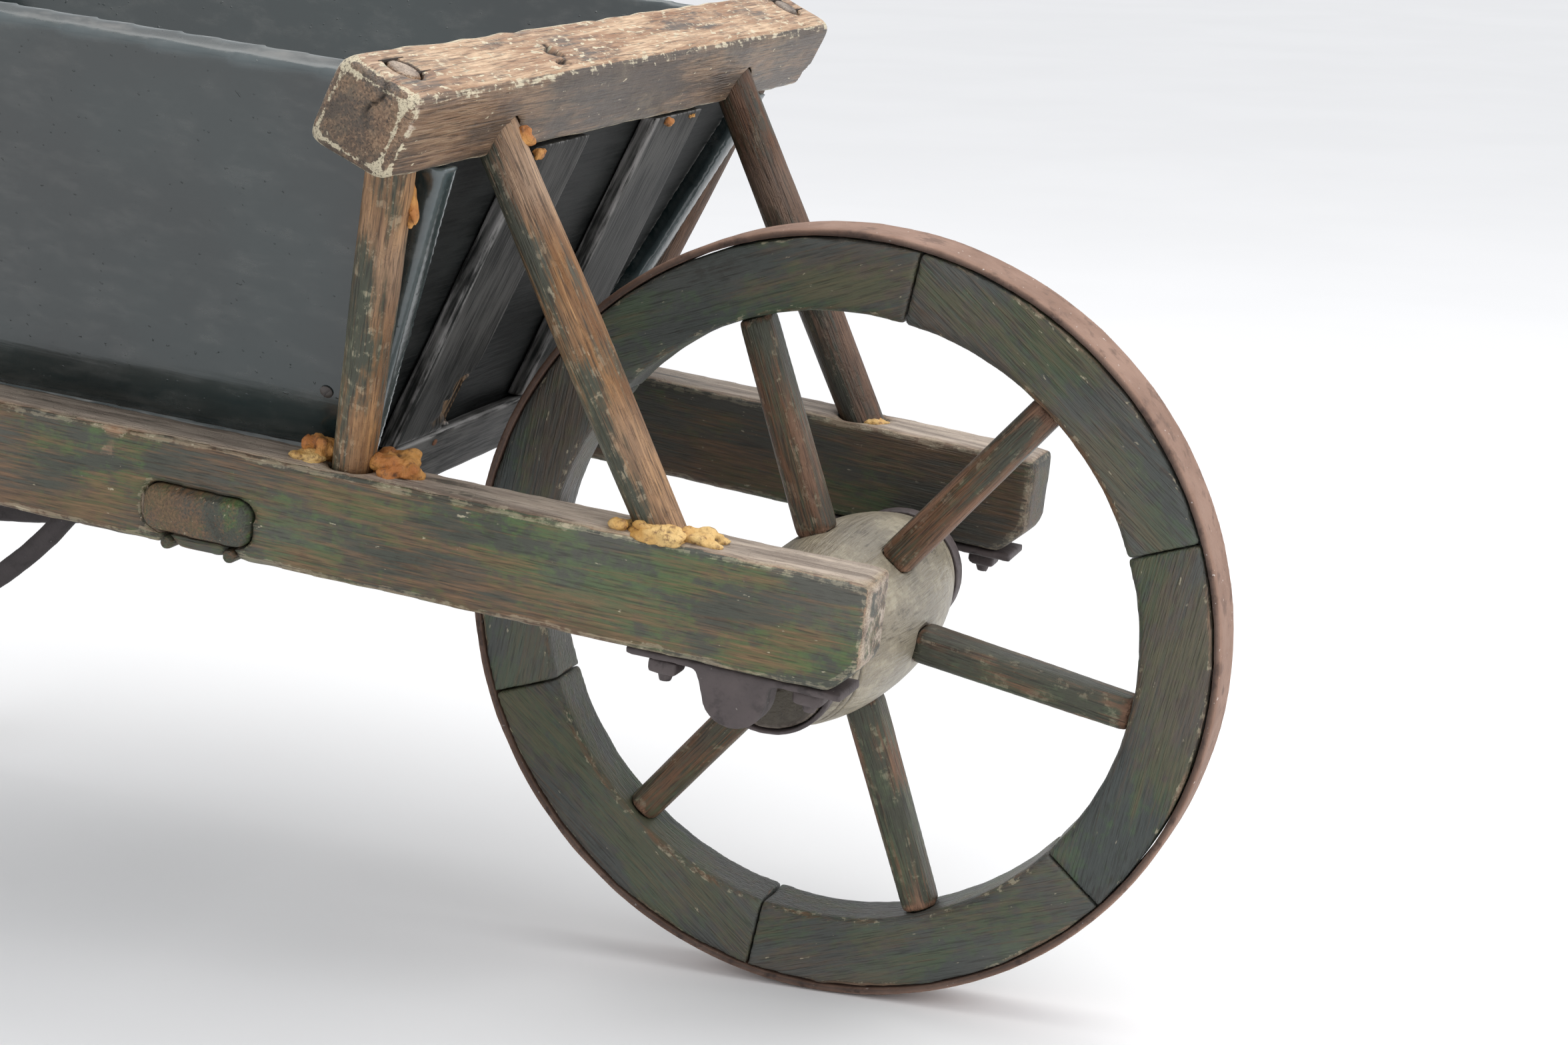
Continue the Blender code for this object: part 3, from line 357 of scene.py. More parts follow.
def cut_away(mesh, matrix, size):
    """The mesh less a box of this size."""
    bm = bmesh.new()
    bmesh.ops.create_cube(bm, size=1)
    bmesh.ops.scale(bm, verts=bm.verts, vec=size)
    box = bpy.data.meshes.new("cut")
    bm.to_mesh(box)
    bm.free()
    helper = new_object("helper", mesh)
    cutter = new_object("cutter", box)
    cutter.matrix_world = matrix
    modifier = helper.modifiers.new("cut", "BOOLEAN")
    modifier.solver = "EXACT"
    modifier.object = cutter
    graph = bpy.context.evaluated_depsgraph_get()
    result = bpy.data.meshes.new_from_object(helper.evaluated_get(graph))
    bpy.data.objects.remove(helper)
    bpy.data.objects.remove(cutter)
    return result


# ---------------------------------------------------------------- materials


class Graph:
    """A material's nodes."""

    def __init__(self, name):
        self.material = bpy.data.materials.new(name)
        self.material.use_nodes = True
        self.tree = self.material.node_tree
        self.shader = self.tree.nodes["Principled BSDF"]

    def put(self, value, socket):
        if isinstance(value, bpy.types.NodeSocket):
            self.tree.links.new(value, socket)
        elif isinstance(value, tuple) and len(value) == 3 and socket.type == "RGBA":
            socket.default_value = (*value, 1)
        else:
            socket.default_value = value

    def value(self, name):
        node = self.tree.nodes.new("ShaderNodeAttribute")
        node.attribute_name = name
        return node.outputs["Fac"]

    def vector(self, name):
        node = self.tree.nodes.new("ShaderNodeAttribute")
        node.attribute_name = name
        return node.outputs["Vector"]

    def stretch(self, vector, scale):
        node = self.tree.nodes.new("ShaderNodeMapping")
        self.put(vector, node.inputs["Vector"])
        node.inputs["Scale"].default_value = scale
        return node.outputs["Vector"]

    def noise(self, vector, scale=1.0, detail=4.0, roughness=0.55, distortion=0.0):
        node = self.tree.nodes.new("ShaderNodeTexNoise")
        self.put(vector, node.inputs["Vector"])
        node.inputs["Scale"].default_value = scale
        node.inputs["Detail"].default_value = detail
        node.inputs["Roughness"].default_value = roughness
        node.inputs["Distortion"].default_value = distortion
        return node.outputs["Fac"]

    def math(self, operation, first, second=0.0):
        node = self.tree.nodes.new("ShaderNodeMath")
        node.operation = operation
        self.put(first, node.inputs[0])
        self.put(second, node.inputs[1])
        return node.outputs[0]

    def total(self, *terms):
        """The sum of (value, factor) pairs and plain numbers."""
        result = None
        for term in terms:
            part = self.math("MULTIPLY", *term) if isinstance(term, tuple) else term
            result = part if result is None else self.math("ADD", result, part)
        return result

    def step(self, value, low, high, to_low=0.0, to_high=1.0):
        node = self.tree.nodes.new("ShaderNodeMapRange")
        node.interpolation_type = "SMOOTHSTEP"
        self.put(value, node.inputs["Value"])
        node.inputs["From Min"].default_value = low
        node.inputs["From Max"].default_value = high
        node.inputs["To Min"].default_value = to_low
        node.inputs["To Max"].default_value = to_high
        return node.outputs["Result"]

    def mix(self, factor, first, second):
        node = self.tree.nodes.new("ShaderNodeMix")
        node.data_type = "RGBA"
        for value, index in ((factor, 0), (first, 6), (second, 7)):
            self.put(value, node.inputs[index])
        return node.outputs[2]

    def bump(self, height, distance):
        node = self.tree.nodes.new("ShaderNodeBump")
        self.put(height, node.inputs["Height"])
        node.inputs["Distance"].default_value = distance
        node.inputs["Strength"].default_value = 1.0
        return node.outputs["Normal"]

    def finish(self, colour, roughness, normal, ior=1.5):
        self.put(colour, self.shader.inputs["Base Color"])
        self.put(roughness, self.shader.inputs["Roughness"])
        self.put(normal, self.shader.inputs["Normal"])
        self.put(ior, self.shader.inputs["IOR"])
        return self.material


def old_paint(name, coat, wood, cover, cream, thin, haze, gloss=0.42, arris=0.0, flecks=0.0, open_grain=0.55):
    """Thin paint that is worn to a pale undercoat, and through to the grain of the wood.

    coat and wood are each (dark, light). cover is how much of the paint is left, cream how strong the
    undercoat's rims and specks are, thin how far the wood shows through, and haze how faded it is. arris
    is the undercoat along worn edges, flecks its specks on bare wood, and open_grain how deep the pores are.
    """
    g = Graph(name)
    grain = g.vector("grain")
    fibres = g.noise(g.stretch(grain, (30, 520, 520)), detail=3, roughness=0.6)
    streaks = g.noise(g.stretch(grain, (8, 85, 85)), detail=6, roughness=0.65, distortion=0.4)
    patch = g.noise(g.stretch(grain, (14, 32, 32)), detail=6, roughness=0.62)
    broad = g.noise(g.stretch(grain, (5, 8, 8)), detail=2)
    chips = g.noise(grain, scale=130, detail=5, roughness=0.65)
    exposure = g.total(
        -cover, (g.value("wear"), 0.40), (g.value("bare"), 1.0), (patch, 0.8), (streaks, 0.9),
        (fibres, 0.4), (broad, 0.5), (chips, 0.2),
    )
    bare = g.step(exposure, 0.90, 1.16)
    edge = g.step(g.total((g.value("wear"), 0.5), (exposure, 0.5)), 0.42, 0.60)
    rim = g.math("MULTIPLY", g.step(exposure, 0.86, 0.93), g.step(chips, 0.52, 0.60))
    rim = g.math("MULTIPLY", rim, edge)
    timber = g.mix(g.step(streaks, 0.34, 0.66), *wood)
    timber = g.mix(g.step(fibres, 0.38, 0.62, 0.0, 0.6), timber, wood[0])
    silver = g.mix(g.step(streaks, 0.30, 0.66), GREY_DARK, GREY_LIGHT)
    timber = g.mix(g.value("grey"), timber, silver)
    tint = g.step(g.total((patch, 0.8), (chips, 0.45), (streaks, 0.25)), 0.70, 0.86)
    paint = g.mix(tint, *coat)
    soiled = g.step(g.total((patch, -0.6), (fibres, 0.5), (chips, 0.4)), 0.20, 0.36, 0.0, 0.6)
    paint = g.mix(soiled, paint, GRIME_AND_SHADE)
    paint = g.mix(g.step(broad, 0.35, 0.70, 0.0, haze), paint, DUST)
    region = g.noise(g.stretch(grain, (7, 16, 16)), detail=3)
    showing = g.step(g.total((streaks, 0.5), (fibres, 0.4), (region, 0.9)), 0.82, 1.06, 0.0, thin)
    paint = g.mix(showing, paint, g.mix(g.step(fibres, 0.35, 0.75, 0.0, 0.55), *wood))
    colour = g.mix(g.math("MULTIPLY", rim, cream), paint, CREAM)
    colour = g.mix(bare, colour, timber)
    worn = g.math("MINIMUM", g.value("wear"), 0.55)
    edging = g.total((worn, 0.8), (chips, 0.9), (fibres, 0.5), (streaks, 0.4))
    edging = g.step(edging, 1.30 - 0.12 * arris, 1.40 - 0.12 * arris)
    colour = g.mix(g.math("MULTIPLY", edging, arris), colour, CREAM)
    spots = g.noise(g.stretch(grain, (110, 260, 260)), detail=3)
    spots = g.total(spots, (g.value("bare"), flecks))
    colour = g.mix(g.step(spots, 0.70, 0.75, 0.0, cream), colour, CREAM)
    pores = g.noise(g.stretch(grain, (45, 900, 900)), detail=2, roughness=0.5)
    colour = g.mix(g.step(pores, 0.54, 0.66, 0.0, open_grain), colour, GRIME_AND_SHADE)
    # painted shade: the dark value, mostly shade in hollows and recesses and on the far side, darkens the
    # colour
    colour = g.mix(g.math("MULTIPLY", g.value("dark"), 0.90), colour, GRIME_AND_SHADE)
    roughness = g.total(gloss, (bare, 0.16), (patch, 0.16), (fibres, 0.12), -0.08)
    height = g.total(
        (fibres, 0.8), (streaks, 0.9), (pores, -open_grain), (bare, -0.4), (rim, -0.2), (chips, 0.3),
    )
    return g.finish(colour, roughness, g.bump(height, 0.0015), ior=1.40)


def tray_gloss():
    """Thick dark gloss paint with dust nibs and brush marks, paler on worn edges, partly a painted highlight.
    """
    g = Graph("tray_gloss")
    grain = g.vector("grain")
    brush = g.noise(g.stretch(grain, (7, 130, 60)), detail=3)
    broad = g.noise(grain, scale=7, detail=2)
    nibs = g.step(g.noise(grain, scale=260, detail=1), 0.74, 0.80)
    dust = g.noise(g.stretch(grain, (30, 60, 60)), detail=6, roughness=0.65)
    colour = g.mix(g.step(broad, 0.3, 0.7), (0.008, 0.014, 0.015), (0.013, 0.024, 0.025))
    # worn edges made paler, partly worn paint and partly a painted highlight
    colour = g.mix(g.math("MULTIPLY", g.value("wear"), 0.4), colour, (0.16, 0.20, 0.21))
    grime = g.math("MULTIPLY", g.step(dust, 0.45, 0.75), g.value("grey"))
    colour = g.mix(grime, colour, (0.23, 0.225, 0.21))
    colour = g.mix(g.math("MULTIPLY", g.value("bare"), g.step(dust, 0.35, 0.5)), colour, (0.34, 0.24, 0.16))
    roughness = g.total(0.10, (grime, 0.5), (g.value("grey"), 0.3), (brush, 0.08))
    height = g.total((brush, 0.25), (broad, 0.5), (nibs, 0.5), (dust, 0.10))
    return g.finish(colour, roughness, g.bump(height, 0.0006), ior=1.75)


def front_matt_shaded():
    """The same dark paint where it faces the wheel, in a darker copy that paints its shade: dull, dusty and
    rubbed white on its corners, worn and with a painted highlight.
    """
    g = Graph("front_matt_shaded")
    grain = g.vector("grain")
    fibres = g.noise(g.stretch(grain, (25, 380, 380)), detail=4, roughness=0.6)
    patch = g.noise(g.stretch(grain, (16, 40, 40)), detail=6, roughness=0.6)
    # painted shade: a darker base than the tray's paint
    colour = g.mix(g.step(patch, 0.35, 0.7), (0.004, 0.005, 0.005), (0.009, 0.011, 0.011))
    dust = g.math("MULTIPLY", g.value("grey"), g.step(g.total((fibres, 0.5), (patch, 0.5)), 0.36, 0.60))
    colour = g.mix(dust, colour, (0.110, 0.107, 0.102))
    # worn corners rubbed pale, partly a painted highlight
    rubbed_and_highlit = g.math("MULTIPLY", g.value("wear"), g.step(g.total((fibres, 0.5), (patch, 0.6)), 0.50, 0.64))
    colour = g.mix(g.math("MULTIPLY", rubbed_and_highlit, 0.6), colour, (0.42, 0.41, 0.40))
    raw = g.math("MULTIPLY", g.value("bare"), g.step(fibres, 0.35, 0.55))
    colour = g.mix(raw, colour, (0.26, 0.17, 0.10))
    # painted shade: the dark value darkens the colour
    colour = g.mix(g.math("MULTIPLY", g.value("dark"), 0.8), colour, GRIME_AND_SHADE)
    height = g.total((fibres, 0.8), (patch, 0.6), (raw, -1.0))
    return g.finish(colour, g.total(0.46, (patch, 0.2)), g.bump(height, 0.0009), ior=1.25)


def rust(name, brown, pale, dark, specks, roughness):
    """Rusted iron with pits, dust and old paint."""
    g = Graph(name)
    place = g.vector("grain")
    broad = g.noise(place, scale=22, detail=5, roughness=0.6)
    grit = g.noise(place, scale=420, detail=4, roughness=0.65)
    patch = g.noise(place, scale=75, detail=5, roughness=0.6)
    colour = g.mix(g.step(broad, 0.35, 0.65), brown, pale)
    colour = g.mix(g.step(patch, 0.52, 0.68), colour, dark)
    colour = g.mix(g.step(grit, 0.60, 0.72, 0.0, 0.5), colour, dark)
    spots = g.step(g.noise(place, scale=240, detail=2), 0.70, 0.74)
    colour = g.mix(g.math("MULTIPLY", spots, specks), colour, (0.62, 0.56, 0.52))
    colour = g.mix(g.math("MULTIPLY", g.value("bare"), 0.5), colour, pale)
    # painted shade: the dark value darkens the iron
    colour = g.mix(g.math("MULTIPLY", g.value("dark"), 0.9), colour, (0.015, 0.011, 0.010))
    height = g.total((grit, 0.5), (patch, 0.9))
    roughness = g.total(roughness, (patch, 0.25), (grit, 0.12), -0.15)
    return g.finish(colour, roughness, g.bump(height, 0.0007))


def old_putty(name, deep, pale):
    """Crumbly putty, with painted shade in its hollows."""
    g = Graph(name)
    place = g.vector("grain")
    lumps = g.noise(place, scale=230, detail=5, roughness=0.65)
    broad = g.noise(place, scale=45, detail=3)
    colour = g.mix(g.step(broad, 0.35, 0.65), deep, pale)
    colour = g.mix(g.step(lumps, 0.50, 0.68, 0.0, 0.75), colour, (0.16, 0.07, 0.03))
    # painted shade: the dark value darkens the hollows
    colour = g.mix(g.math("MULTIPLY", g.value("dark"), 0.8), colour, (0.06, 0.03, 0.02))
    return g.finish(colour, 0.6, g.bump(lumps, 0.0025))


def mottled(name, colour, roughness):
    """One colour, in patches of light and dark."""
    g = Graph(name)
    place = g.tree.nodes.new("ShaderNodeTexCoord").outputs["Object"]
    mottle = g.noise(place, scale=90, detail=4)
    shade = g.mix(g.step(mottle, 0.35, 0.65), colour, tuple(0.6 * c for c in colour))
    return g.finish(shade, roughness, g.bump(mottle, 0.0003))


# ---------------------------------------------------------------- how each kind of piece has worn


def even(surface, value):
    """The same value at every point."""
    return np.full(len(surface.points), value)


def rail_offset(points):
    """Where points lie from the head rail's middle: ahead across it, along it, and over it."""
    away = points - rail_middle
    return away @ np.array(RAIL_NORMALS["front"]), away[:, 1], away @ np.array(RAIL_NORMALS["top"])


def broken_off(points, place, ragged, reach, edge):
    """1 near a corner that has broken away, with a ragged line round it that is this soft."""
    distance = np.linalg.norm(points - np.array(place), axis=1)
    return smoothstep(ragged - distance, -reach, edge - reach)


def worn_shaft(surface):
    """Bare on top and at the grips, chipped at the nose. The far shaft is darkened with painted shade, and
    its end kept less bare.
    """
    nose = axle.x + NOSE
    top = facing(surface.normals, SHAFT_NORMALS["top"])
    ahead = smoothstep(surface.points[:, 0], nose - 0.16, nose)
    grips = smoothstep(-surface.points[:, 0], 0.55, 0.66)
    end = facing(surface.normals, SHAFT_NORMALS["end"], 0.6, 0.9)
    far = float(surface.points[:, 1].mean() > 0)
    # painted shade: the far shaft's end is kept less bare, so darker
    surface.bare = 0.04 + 0.72 * top + 0.08 * ahead + 0.55 * grips + (0.45 - 0.35 * far) * end
    surface.grey = (0.15 + 0.60 * top + 0.65 * end - 0.2 * grips * (1 - top)) * (1 - 0.5 * surface.wear)
    # painted shade: the far shaft is darkened, except on top
    surface.dark = surface.dark + 0.55 * far * (1 - top)
    for place, radius in SHAFT_CHIPS:
        surface.bare += 0.5 * near(surface.points, place, radius)


def worn_rail(surface):
    """Bare on top, with a pit, a split near end and a broken far corner; the pit and the split are darkened
    with painted shade.
    """
    _, along, _ = rail_offset(surface.points)
    top = facing(surface.normals, RAIL_NORMALS["top"])
    front = facing(surface.normals, RAIL_NORMALS["front"])
    end_grain = smoothstep(abs(surface.normals[:, 1]), 0.6, 0.95)
    outer = smoothstep(abs(along), 0.30, RAIL_HALF_LENGTH)
    surface.bare = 0.12 + 0.52 * top + 0.02 * front - 0.32 * end_grain + 0.14 * outer * front
    surface.grey = 0.10 + 0.60 * outer * (1 - 0.7 * top)
    crack = rail_crack(surface.points)
    surface.push(-0.0025 * crack)
    # painted shade: the split is darkened
    surface.dark = np.maximum(surface.dark, crack)

    ahead, along, over = rail_offset(surface.points)
    ragged = 0.0022 * lattice_noise(surface.points, 0.004, 21)
    pit = even(surface, 0.0)
    for pit_along, pit_ahead, long, wide in RAIL_PITS:
        reach = np.hypot((along - pit_along) / long, (ahead - pit_ahead) / wide) + ragged / wide
        reach = np.where(over > RAIL_TOP, reach, OUT_OF_REACH)
        pit = np.maximum(pit, smoothstep(-reach, -1.15, -0.75))
        # painted shade: the pits and a ring round them are darkened
        surface.dark = np.maximum(surface.dark, smoothstep(-reach, -1.45, -1.20))
    surface.push(-RAIL_PIT_DEPTH * pit)
    broken = broken_off(surface.points, BROKEN_RAIL_END, 2 * ragged, 0.020, 0.006)
    surface.push(-0.008 * broken)
    surface.bare += 0.3 * broken


def rail_crack(points):
    """A split that runs from the near end's top corner down its face."""
    ahead, along, over = rail_offset(points)
    line = ahead - 0.004 + 0.003 * np.sin(over * 260)
    at_end = smoothstep(-along, 0.326, 0.341)
    return at_end * smoothstep(-abs(line), -0.0022, 0) * smoothstep(over, -0.004, 0.006)


def worn_spindle(surface):
    """Bare in patches, and barer and so paler on the side towards the window lamp, a painted highlight; the
    far ones darkened with painted shade; painted at its ends. Its tenon's end is level with the rail's top.
    """
    along = abs(surface.grain[:, 0]) / abs(surface.grain[:, 0]).max()
    ahead = surface.normals @ np.array(TOWARDS_WINDOW_LAMP)
    patches = lattice_noise(surface.points, 0.05, 5)
    flush = facing(surface.normals, RAIL_NORMALS["top"], 0.9, 0.99)
    flush *= smoothstep(surface.points[:, 2], 0.60, 0.61)
    surface.push(0.0009 * flush)
    far = float(surface.points[:, 1].mean() > 0)
    # painted highlight: the side towards the window lamp is made barer, so paler
    surface.bare = 0.34 + 0.24 * ahead + 0.12 * patches - 0.22 * smoothstep(along, 0.78, 1.0) + flush
    surface.grey = 0.15 + 0.2 * patches + 0.5 * flush
    # painted shade: the far spindles are darkened
    surface.dark = surface.dark + 0.42 * far


def worn_felloe(surface):
    """Rubbed along the rim's inner and outer edges."""
    radius = axle_distance(surface.points)
    inner = smoothstep(-radius, -0.212, -0.203)
    outer = smoothstep(radius, 0.238, 0.248)
    surface.bare = 0.19 * inner + 0.13 * outer
    surface.grey = 0.15 * outer


def worn_spoke(surface):
    """Patches of bare wood."""
    surface.bare = 0.22 + 0.16 * lattice_noise(surface.points, 0.04, 3)
    surface.grey = even(surface, 0.10)


def worn_nave(surface):
    """Smooth paint with two turned lines near each end, cut as grooves and darkened with painted shade, and
    darker towards the hoops and at its ends.
    """
    away = abs(surface.points[:, 1])
    for groove in NAVE_GROOVES:
        line = smoothstep(-abs(away - groove), -0.0022, 0)
        surface.push(-0.0011 * line)
        # painted shade: each groove is darkened
        surface.dark = np.maximum(surface.dark, 0.9 * line)
    surface.dark = np.maximum(surface.dark, 0.5 * smoothstep(away, HOOP_EDGE - 0.011, HOOP_EDGE))
    surface.dark = np.maximum(surface.dark, 0.92 * smoothstep(away, NAVE_END - 0.0025, NAVE_END - 0.0010))
    surface.bare = 0.12 + 0.3 * surface.wear
    surface.grey = even(surface, 0.75)


def worn_bearer(surface):
    """The tenons' ends stand out of the shafts in a low dome."""
    half_width, half_height = BEARER_TENON_HALF
    across = (surface.points[:, 0] - BEARER_TENON[0]) / half_width
    up = (surface.points[:, 2] - BEARER_TENON[2]) / half_height
    ends = smoothstep(abs(surface.normals[:, 1]), 0.4, 0.95)
    dome = np.clip(1 - across ** 4, 0, 1) * np.clip(1 - up ** 2, 0, 1)
    surface.push(BEARER_TENON_DOME * ends * dome)
    surface.wear *= 0.3
    surface.grey = even(surface, 0.4)


def worn_leg(surface):
    """Bare and grey at the foot."""
    foot = smoothstep(-surface.points[:, 2], -0.09, 0)
    surface.bare = 0.10 + 0.45 * foot
    surface.grey = 0.3 + 0.5 * foot


def worn_board(surface):
    """Dark paint, dusty where it looks up."""
    up = smoothstep(surface.normals[:, 2], 0.3, 0.9)
    surface.grey = 0.10 + 0.35 * up
    surface.wear = surface.wear * 0.9


def worn_batten(surface):
    """Dusty, with one splintered lower corner."""
    surface.grey = 0.55 + 0.25 * lattice_noise(surface.points, 0.05, 9)
    ragged = 0.012 * lattice_noise(surface.points, 0.008, 4)
    broken = broken_off(surface.points, BROKEN_BATTEN_CORNER, ragged, 0.030, 0.008)
    surface.push(-0.006 * broken)
    surface.bare = 0.9 * broken


def worn_toe(surface):
    """The dustiest of the boards."""
    surface.grey = 0.75 + 0.2 * lattice_noise(surface.points, 0.03, 12)


def worn_tyre(surface):
    """Pale on the tread, dark on its sides, and darkened with painted shade where it meets the rim."""
    side = smoothstep(abs(surface.points[:, 1]), 0.0195, 0.0212)
    radius = axle_distance(surface.points)
    # dark sides, and painted shade where the tyre meets the rim
    surface.dark = 0.55 * side + 0.4 * smoothstep(-radius, -0.2515, -0.2495)
    surface.bare = 0.8 * (1 - side)


def worn_iron(surface):
    """The same all over."""
    surface.bare = even(surface, 0.5)


# ---------------------------------------------------------------- small pieces


def blob(name, place, size, seed, material):
    """A lump of old putty squeezed out of a joint."""
    rng = np.random.default_rng(seed)
    bm = bmesh.new()
    for _ in range(BLOB_LUMPS):
        shift = Vector(rng.uniform(-1, 1, 3)) * 0.66
        scale = rng.uniform(0.22, 0.58)
        matrix = Matrix.Translation(Vector(place) + Vector(s * k for s, k in zip(shift, size)))
        matrix = matrix @ Matrix.Diagonal((*(scale * k for k in size), 1))
        bmesh.ops.create_icosphere(bm, subdivisions=2, radius=1, matrix=matrix)
    mesh = bpy.data.meshes.new(name)
    bm.to_mesh(mesh)
    bm.free()
    mesh = remeshed(mesh, BLOB_VOXEL * COARSER)
    surface = Surface(mesh, 2, BLOB_VOXEL * COARSER)
    crumbs = 0.0012 * lattice_noise(surface.points, 0.006, seed)
    surface.push(crumbs + 0.0006 * lattice_noise(surface.points, 0.0025, seed))
    set_points(mesh, surface.points)
    add_values(mesh, "grain", surface.points)
    # painted shade: the lump's hollows are darkened
    add_values(mesh, "dark", surface.hollow)
    mesh.shade_smooth()
    mesh.materials.append(material)
    piece = new_object(name, mesh)
    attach(piece, "frame")
    return piece


def turned_mesh(profile, sides=24):
    """A solid of revolution about Z from (radius, z) points, closed at both ends."""
    bm = bmesh.new()
    rings = [[
        bm.verts.new((r * np.cos(2 * np.pi * k / sides), r * np.sin(2 * np.pi * k / sides), z))
        for k in range(sides)
    ] for r, z in profile]
    bm.faces.new(rings[0][::-1])
    bm.faces.new(rings[-1])
    for low, high in zip(rings, rings[1:]):
        for k in range(sides):
            j = (k + 1) % sides
            bm.faces.new((low[k], low[j], high[j], high[k]))
    mesh = bpy.data.meshes.new("turned")
    bm.to_mesh(mesh)
    bm.free()
    return mesh


def fastener(name, place, normal, radius, material, slotted=False):
    """A screw's or a nail's head, set into a board."""
    head = 0.0011
    mesh = turned_mesh([
        (radius * 0.6, -0.003),
        (radius, -0.0006),
        (radius, 0.0002),
        (radius * 0.8, 0.0008),
        (radius * 0.35, head),
    ])
    if slotted:
        slot_size = (radius * 3, radius * 0.28, 0.0014)
        slot_place = Matrix.Rotation(0.7, 4, "Z") @ Matrix.Translation((0, 0, head))
        mesh = cut_away(mesh, slot_place, slot_size)
    mesh.shade_smooth()
    mesh.set_sharp_from_angle(angle=0.6)
    mesh.materials.clear()
    mesh.materials.append(material)
    piece = new_object(name, mesh)
    turn = Vector(normal).to_track_quat("Z", "Y").to_matrix().to_4x4()
    piece.matrix_world = Matrix.Translation(place) @ turn
    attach(piece, "frame")
    return piece


def wedge(name, place, size, material):
    """A dark strip of end grain, level with the rail's top that it is driven into."""
    bm = bmesh.new()
    bmesh.ops.create_cube(bm, size=1)
    bmesh.ops.scale(bm, verts=bm.verts, vec=size)
    bmesh.ops.bevel(bm, geom=bm.edges[:], offset=min(size) * 0.3, segments=2, affect="EDGES")
    mesh = bpy.data.meshes.new(name)
    bm.to_mesh(mesh)
    bm.free()
    mesh.materials.append(material)
    piece = new_object(name, mesh)
    piece.matrix_world = Matrix.Translation(place) @ Matrix.Rotation(RAIL_LEAN, 4, "Y")
    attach(piece, "frame")
    return piece


# ---------------------------------------------------------------- the stage


def build_floor():
    corners = [(x * FLOOR_HALF, y * FLOOR_HALF, 0) for x, y in ((-1, -1), (1, -1), (1, 1), (-1, 1))]
    mesh = bpy.data.meshes.new("floor")
    mesh.from_pydata(corners, [], [(0, 1, 2, 3)])
    floor = new_object("floor", mesh)
    g = Graph("floor")
    place = g.tree.nodes.new("ShaderNodeTexCoord").outputs["Object"]
    cloud = g.noise(place, scale=1.5, detail=3)
    colour = g.mix(g.step(cloud, 0.3, 0.7), (0.84, 0.84, 0.845), (0.86, 0.86, 0.865))
    mesh.materials.append(g.finish(colour, 0.75, g.bump(cloud, 0.001)))


def build_lights():
    world = bpy.data.worlds.new("studio")
    bpy.context.scene.world = world
    world.use_nodes = True
    sky = world.node_tree.nodes["Background"]
    sky.inputs["Color"].default_value = (*SKY_COLOUR, 1)
    sky.inputs["Strength"].default_value = SKY_STRENGTH
    for name, place, aim, size, energy, colour in LAMPS:
        data = bpy.data.lights.new(name, "AREA")
        data.size = size
        data.energy = energy
        data.color = colour
        lamp = new_object(name, data)
        lamp.location = place
        lamp.rotation_euler = (Vector(aim) - Vector(place)).to_track_quat("-Z", "Y").to_euler()


def build_camera():
    data = bpy.data.cameras.new("camera")
    data.lens = CAMERA_LENS
    data.sensor_width = CAMERA_SENSOR
    camera = new_object("camera", data)
    camera.location = axle + Vector(CAMERA_OFFSET)
    turn = Vector(CAMERA_LOOK).to_track_quat("-Z", "Y").to_matrix()
    camera.rotation_euler = (turn @ Euler((0, 0, np.radians(CAMERA_ROLL))).to_matrix()).to_euler()
    bpy.context.scene.camera = camera
    bpy.context.scene.view_settings.view_transform = "Standard"


# ---------------------------------------------------------------- the object


